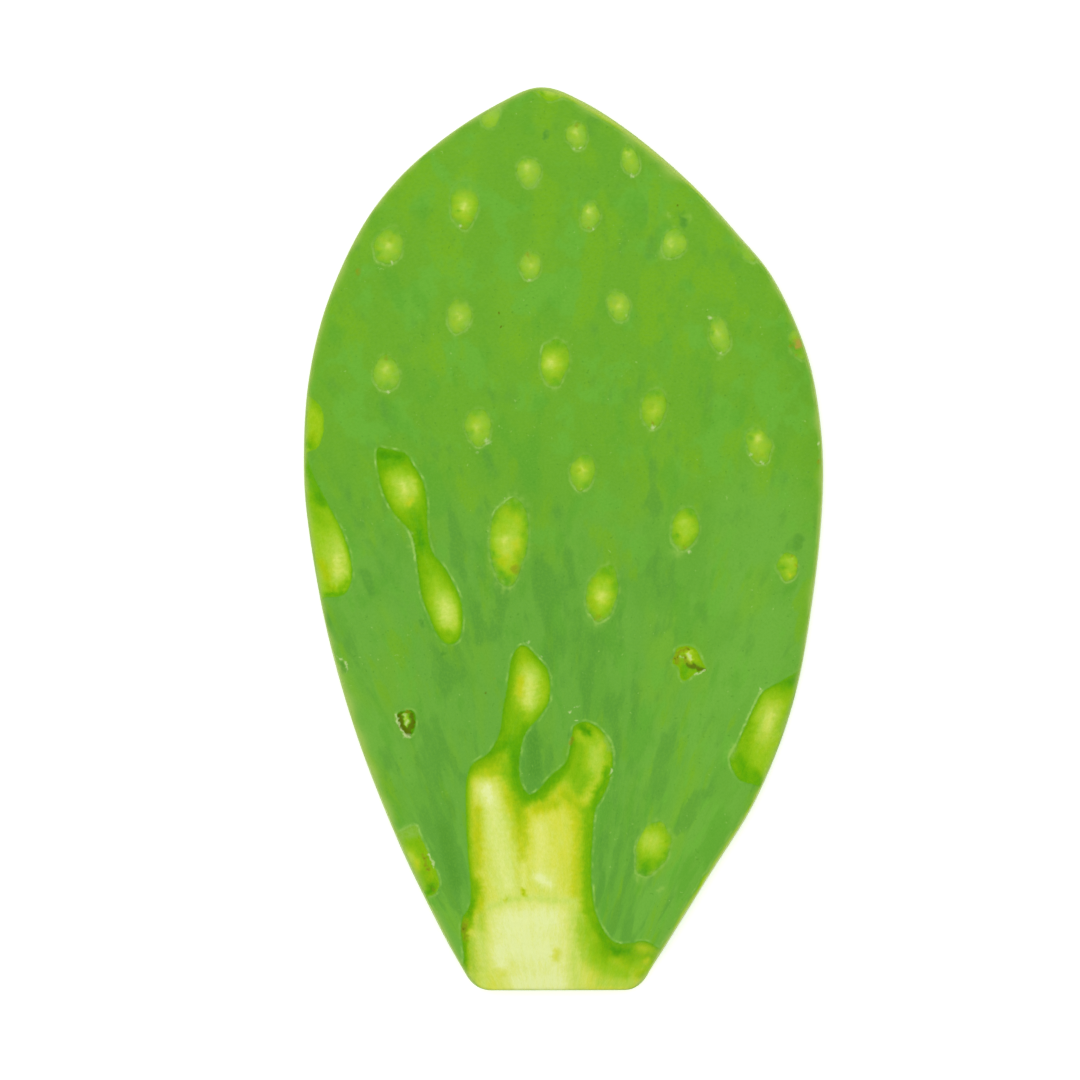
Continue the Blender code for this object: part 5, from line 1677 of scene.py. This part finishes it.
# %% Skin streaks and clouds
CLOUDS = (
    # colour, mm across, stretch, painted number, its weight, low, high, amount, seed
    ((120, 178, 42), 10.0, 3.0, "tint", 0.10, 0.50, 0.64, 0.55, 30.0),
    ((99, 165, 50), 9.0, 2.6, "shade", -0.14, 0.52, 0.66, 0.5, 31.0),
    ((108, 178, 58), 4.4, 1.7, "shade", 0.26, 0.53, 0.66, 0.75, 8.0),
    ((118, 176, 34), 4.0, 3.4, "tint", 0.26, 0.55, 0.68, 0.75, 6.0),
    ((92, 165, 47), 4.0, 2.8, "tint", -0.26, 0.55, 0.70, 0.55, 10.0),
    ((92, 155, 56), 3.6, 3.0, "shade", -0.26, 0.57, 0.75, 0.7, 12.0),
)
for colour, size_mm, stretch, name, weight, low, high, amount, seed in CLOUDS:
    drift = noise(size_mm, detail=3.0, stretch=stretch, roughness=0.55, offset=seed)
    cloud = maths("ADD", drift, maths("MULTIPLY", number(name), weight))
    skin = blend(span(cloud, low, high, 0.0, amount), skin, seen_colour(*colour))
DEEP_SHADE = seen_colour(84, 148, 44)
DEEP_LIMITS = (0.7, 1.3)
DEEP_STRENGTH = 0.7
deep_places = span(maths("MULTIPLY", number("shade"), -1.0), *DEEP_LIMITS, 0.0, DEEP_STRENGTH)
skin = blend(deep_places, skin, DEEP_SHADE)

# %% The darker fan above the base
SKIN_CORE = seen_colour(66, 132, 48)
FAN_LEAN = -0.09
FAN_HALF_ANGLES = (0.10, 0.55)       # full within the first, gone at the second
FAN_HEIGHTS = (-0.025, 0.05)
STRAND_SWING = 1.4
STREAKY_LIMITS = (0.0, 1.1)
FAN_STRENGTH = 0.2
off_axis = maths("ABSOLUTE", maths("SUBTRACT", fan_angle, FAN_LEAN))
near_axis = span(off_axis, *FAN_HALF_ANGLES, 1.0, 0.0)
low_down = span(height_along, *FAN_HEIGHTS, 1.0, 0.0)
strands = noise(5.0, detail=3.0, stretch=3.5, roughness=0.6, offset=3.0)
streaky = maths("ADD", maths("MULTIPLY", near_axis, low_down), centred(strands, STRAND_SWING))
fan_shade = maths("MULTIPLY", span(streaky, *STREAKY_LIMITS), FAN_STRENGTH)
skin = blend(fan_shade, skin, SKIN_CORE)

# %% Flecks and grain in the skin
SKIN_FLECK = seen_colour(150, 196, 96)
SKIN_PORE = seen_colour(78, 142, 40)
SKIN_GRAIN_DARK = seen_colour(94, 158, 42)
SKIN_GRAIN_PALE = seen_colour(118, 178, 62)
FLECK_LIMITS = (0.70, 0.80)
GROUP_LIMITS = (0.45, 0.62)
FLECK_STRENGTH = 0.7
PORE_LIMITS = (0.68, 0.80)
PORE_STRENGTH = 0.5
GRAIN_LIMITS = (0.40, 0.70)
GRAIN_STRENGTH = 0.24
flecks = span(noise(0.9, detail=1.0, offset=11.0, fan=False), *FLECK_LIMITS)
groups = span(noise(9.0, detail=1.0, offset=12.0), *GROUP_LIMITS)
grouped_flecks = maths("MULTIPLY", flecks, groups)
skin = blend(maths("MULTIPLY", grouped_flecks, FLECK_STRENGTH), skin, SKIN_FLECK)
pores = noise(0.8, detail=1.0, offset=13.0, fan=False)
skin = blend(span(pores, *PORE_LIMITS, 0.0, PORE_STRENGTH), skin, SKIN_PORE)
for colour, seed in ((SKIN_GRAIN_DARK, 15.0), (SKIN_GRAIN_PALE, 16.0)):
    grain = noise(0.4, detail=1.0, stretch=1.3, roughness=0.6, offset=seed)
    skin = blend(span(grain, *GRAIN_LIMITS, 0.0, GRAIN_STRENGTH), skin, colour)

# %% Flesh colour
LEAST_PALE = 0.12
FINE_MOTTLE = 0.20
BROAD_MOTTLE = 0.12
WARM_SWING = 1.1
COOL_FLESH = (               # how pale, and the colour there
    (0.00, (64, 144, 0)), (0.12, (79, 157, 0)), (0.24, (98, 171, 0)),
    (0.38, (124, 184, 6)), (0.54, (148, 198, 34)), (0.68, (174, 210, 68)),
    (0.80, (200, 222, 98)), (0.92, (220, 232, 132)), (1.00, (229, 239, 162)),
)
WARM_FLESH = (
    (0.00, (82, 138, 0)), (0.22, (110, 162, 0)), (0.38, (136, 181, 0)),
    (0.54, (169, 197, 8)), (0.68, (196, 208, 34)), (0.80, (214, 220, 72)),
    (0.92, (226, 229, 108)), (1.00, (232, 236, 144)),
)


def tone_ramp(value, stops):
    node = nodes.new("ShaderNodeValToRGB")
    links.new(value, node.inputs["Fac"])
    elements = node.color_ramp.elements
    while len(elements) < len(stops):
        elements.new(0.5)
    for element, (where, colour) in zip(elements, stops):
        element.position = where
        element.color = seen_colour(*colour)
    return node.outputs["Color"]


fine_mottle = noise(0.7, detail=3.0, stretch=1.2, roughness=0.7, offset=17.0)
broad_mottle = noise(2.6, stretch=2.2, offset=19.0)
mottle = maths("ADD", centred(fine_mottle, FINE_MOTTLE), centred(broad_mottle, BROAD_MOTTLE))
lifted = maths("MULTIPLY", maths("ADD", number("pale"), LEAST_PALE), 1 - LEAST_PALE)
paleness = maths("ADD", lifted, mottle, clamp=True)
warm_patches = noise(2.2, detail=3.0, stretch=1.6, roughness=0.6, offset=21.0)
warmth = maths("ADD", number("warm"), centred(warm_patches, WARM_SWING), clamp=True)
flesh = blend(warmth, tone_ramp(paleness, COOL_FLESH), tone_ramp(paleness, WARM_FLESH))

# %% Where flesh meets skin
RIND_COLOUR = seen_colour(140, 191, 80)
CRUST_COLOUR = seen_colour(166, 204, 116)
RAGGED_MM = 0.5
EDGE_MM = (-0.20, 0.24)              # skin below the first, flesh above the second
HALO_MM = (0.26, 0.04, 0.44)         # how far outside the edge, half core, half width
LINE_MM = (0.22, 0.02, 0.20)
HALO_GAIN = 1.1
LINE_LIMITS = (0.5, 1.1, 0.0, 0.7)   # low, high and what they turn into, as in all below
CRUST_PATCHES = (0.30, 0.62, 0.35, 1.15)
LINE_GAPS = (0.42, 0.60, 0.15, 1.0)
ragged = noise(0.8, roughness=0.6, offset=23.0, fan=False)
edge = maths("ADD", number("cut"), centred(ragged, RAGGED_MM))
flesh_allowed = maths("SUBTRACT", 1.0, number("bare"))
is_flesh = maths("MULTIPLY", span(edge, *EDGE_MM), flesh_allowed, clamp=True)
surface = blend(is_flesh, skin, flesh)


def line_outside(away_mm, half_core, half_width):
    """A soft line running `away_mm` outside every cut edge."""
    off_line = maths("ABSOLUTE", maths("ADD", edge, away_mm))
    return span(off_line, half_core, half_width, 1.0, 0.0)


patchy = noise(1.3, detail=3.0, roughness=0.65, offset=25.0, fan=False)
dryness = maths("MULTIPLY", number("crust"), span(patchy, *CRUST_PATCHES))
halo_strength = maths("MULTIPLY", dryness, HALO_GAIN)
halo = maths("MULTIPLY", line_outside(*HALO_MM), halo_strength, clamp=True)
surface = blend(halo, surface, RIND_COLOUR)
gaps = span(noise(1.7, roughness=0.6, offset=37.0, fan=False), *LINE_GAPS)
line_strength = maths("MULTIPLY", gaps, span(dryness, *LINE_LIMITS))
thin_line = maths("MULTIPLY", line_outside(*LINE_MM), line_strength)
surface = blend(thin_line, surface, CRUST_COLOUR)

# %% Dried and bruised spots, and the painted shade in the pit
RIND_FLAP = seen_colour(142, 191, 78)
CREAM_CRUST = seen_colour(190, 213, 142)
BROWN_STAIN = seen_colour(136, 150, 30)
BRUISE_BROWN = seen_colour(100, 116, 22)
# Painted shade for the pit's hollow; the small dark specks take the same colour.
PIT_SHADOW = seen_colour(96, 118, 20)
TAN_SCAR = seen_colour(178, 160, 66)
FRINGE_COLOUR = seen_colour(173, 202, 98)
FRINGE_STRENGTH = 0.92
RIND_PATCHES = (0.3, 0.7, 0.4, 1.1)
BROWN_PATCHES = (0.35, 0.6, 0.55, 1.0)
CREAM_PATCHES = (0.32, 0.58, 0.45, 1.0)
rind = maths("MULTIPLY", number("rind"), span(patchy, *RIND_PATCHES))
surface = blend(rind, surface, RIND_FLAP)
brown = maths("MULTIPLY", number("brown"), span(patchy, *BROWN_PATCHES))
cream = maths("MULTIPLY", number("cream"), span(patchy, *CREAM_PATCHES))
SPOTS = (
    # colour, painted number, where it begins, where it is full, how strong it gets
    (BROWN_STAIN, brown, 0.15, 0.75, 0.75), (BRUISE_BROWN, brown, 0.78, 1.0, 0.9),
    (PIT_SHADOW, number("shadow"), 0.2, 0.8, 0.95), (CREAM_CRUST, cream, 0.2, 0.8, 0.85),
    (TAN_SCAR, number("tanned"), 0.2, 0.8, 0.95),
)
for colour, painted, begins, full, strength in SPOTS:
    surface = blend(span(painted, begins, full, 0.0, strength), surface, colour)
surface = blend(maths("MULTIPLY", number("fringe"), FRINGE_STRENGTH), surface, FRINGE_COLOUR)
links.new(surface, shader.inputs["Base Color"])

# %% Gloss and fine relief
SKIN_ROUGHNESS = (0.54, 0.54, 0.54, 1.0)
FLESH_ROUGHNESS = (0.34, 0.34, 0.34, 1.0)
SKIN_RELIEF_MM = 0.035
FLESH_RELIEF_MM = 0.14
links.new(blend(is_flesh, SKIN_ROUGHNESS, FLESH_ROUGHNESS), shader.inputs["Roughness"])
shader.inputs["Specular IOR Level"].default_value = 0.03


def bump(height, distance_mm, normal=None):
    node = nodes.new("ShaderNodeBump")
    node.inputs["Distance"].default_value = distance_mm * MM
    links.new(height, node.inputs["Height"])
    if normal is not None:
        links.new(normal, node.inputs["Normal"])
    return node.outputs["Normal"]


waxy = noise(0.9, detail=3.0, roughness=0.6, offset=27.0, fan=False)
crumbs = noise(0.6, detail=4.0, stretch=1.4, roughness=0.7, offset=29.0)
skin_relief = bump(waxy, SKIN_RELIEF_MM)
relief = bump(maths("MULTIPLY", crumbs, is_flesh), FLESH_RELIEF_MM, skin_relief)
links.new(relief, shader.inputs["Normal"])
pad_mesh.materials.append(material)
print("material nodes:", len(nodes))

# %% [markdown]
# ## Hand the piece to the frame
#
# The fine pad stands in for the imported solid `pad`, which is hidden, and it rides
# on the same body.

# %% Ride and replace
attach(pad, "root")
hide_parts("pad")

# %% [markdown]
# ## Stage and light
#
# A pale floor, a soft even sky and one broad lamp give light with hardly any
# shadow, so the greens show as they are. The standard view keeps the colours true.

# %% Floor
FLOOR_SIDE = 6.0
FLOOR_GAP = 0.0002
FLOOR_WHITE = (0.97, 0.97, 0.97, 1.0)
floor_mesh = bpy.data.meshes.new("floor")
half = FLOOR_SIDE / 2
floor_corners = [(-half, -half, 0), (half, -half, 0), (half, half, 0), (-half, half, 0)]
floor_mesh.from_pydata(floor_corners, [], [(0, 1, 2, 3)])
floor = bpy.data.objects.new("floor", floor_mesh)
floor.location.z = -FLOOR_GAP
bpy.context.scene.collection.objects.link(floor)
floor_material = bpy.data.materials.new("floor")
floor_material.use_nodes = True
floor_shader = floor_material.node_tree.nodes["Principled BSDF"]
floor_shader.inputs["Base Color"].default_value = FLOOR_WHITE
floor_shader.inputs["Roughness"].default_value = 0.9
floor_shader.inputs["Emission Color"].default_value = (1.0, 1.0, 1.0, 1.0)
floor_shader.inputs["Emission Strength"].default_value = 0.3
floor_mesh.materials.append(floor_material)

# %% Sky and lamp
SKY_STRENGTH = 0.55
LAMP_PLACE = (-0.12, 0.16, 1.8)
world = bpy.data.worlds.new("sky")
world.use_nodes = True
world.node_tree.nodes["Background"].inputs["Color"].default_value = (1.0, 1.0, 1.0, 1.0)
world.node_tree.nodes["Background"].inputs["Strength"].default_value = SKY_STRENGTH
bpy.context.scene.world = world
bpy.context.scene.view_settings.view_transform = "Standard"

lamp_data = bpy.data.lights.new("soft_box", "AREA")
lamp_data.shape = "DISK"
lamp_data.size = 1.2
lamp_data.energy = 18.6
lamp = bpy.data.objects.new("soft_box", lamp_data)
lamp.location = LAMP_PLACE
lamp.rotation_euler = (-lamp.location).to_track_quat("-Z", "Y").to_euler()
bpy.context.scene.collection.objects.link(lamp)

# %% [markdown]
# ## Finish
#
# The fine pad must lie inside the solid's box; its heights were capped and its
# outline drawn in a hair for that. Here the scene is only brought up to date.

# %% Finish
bpy.context.view_layer.update()
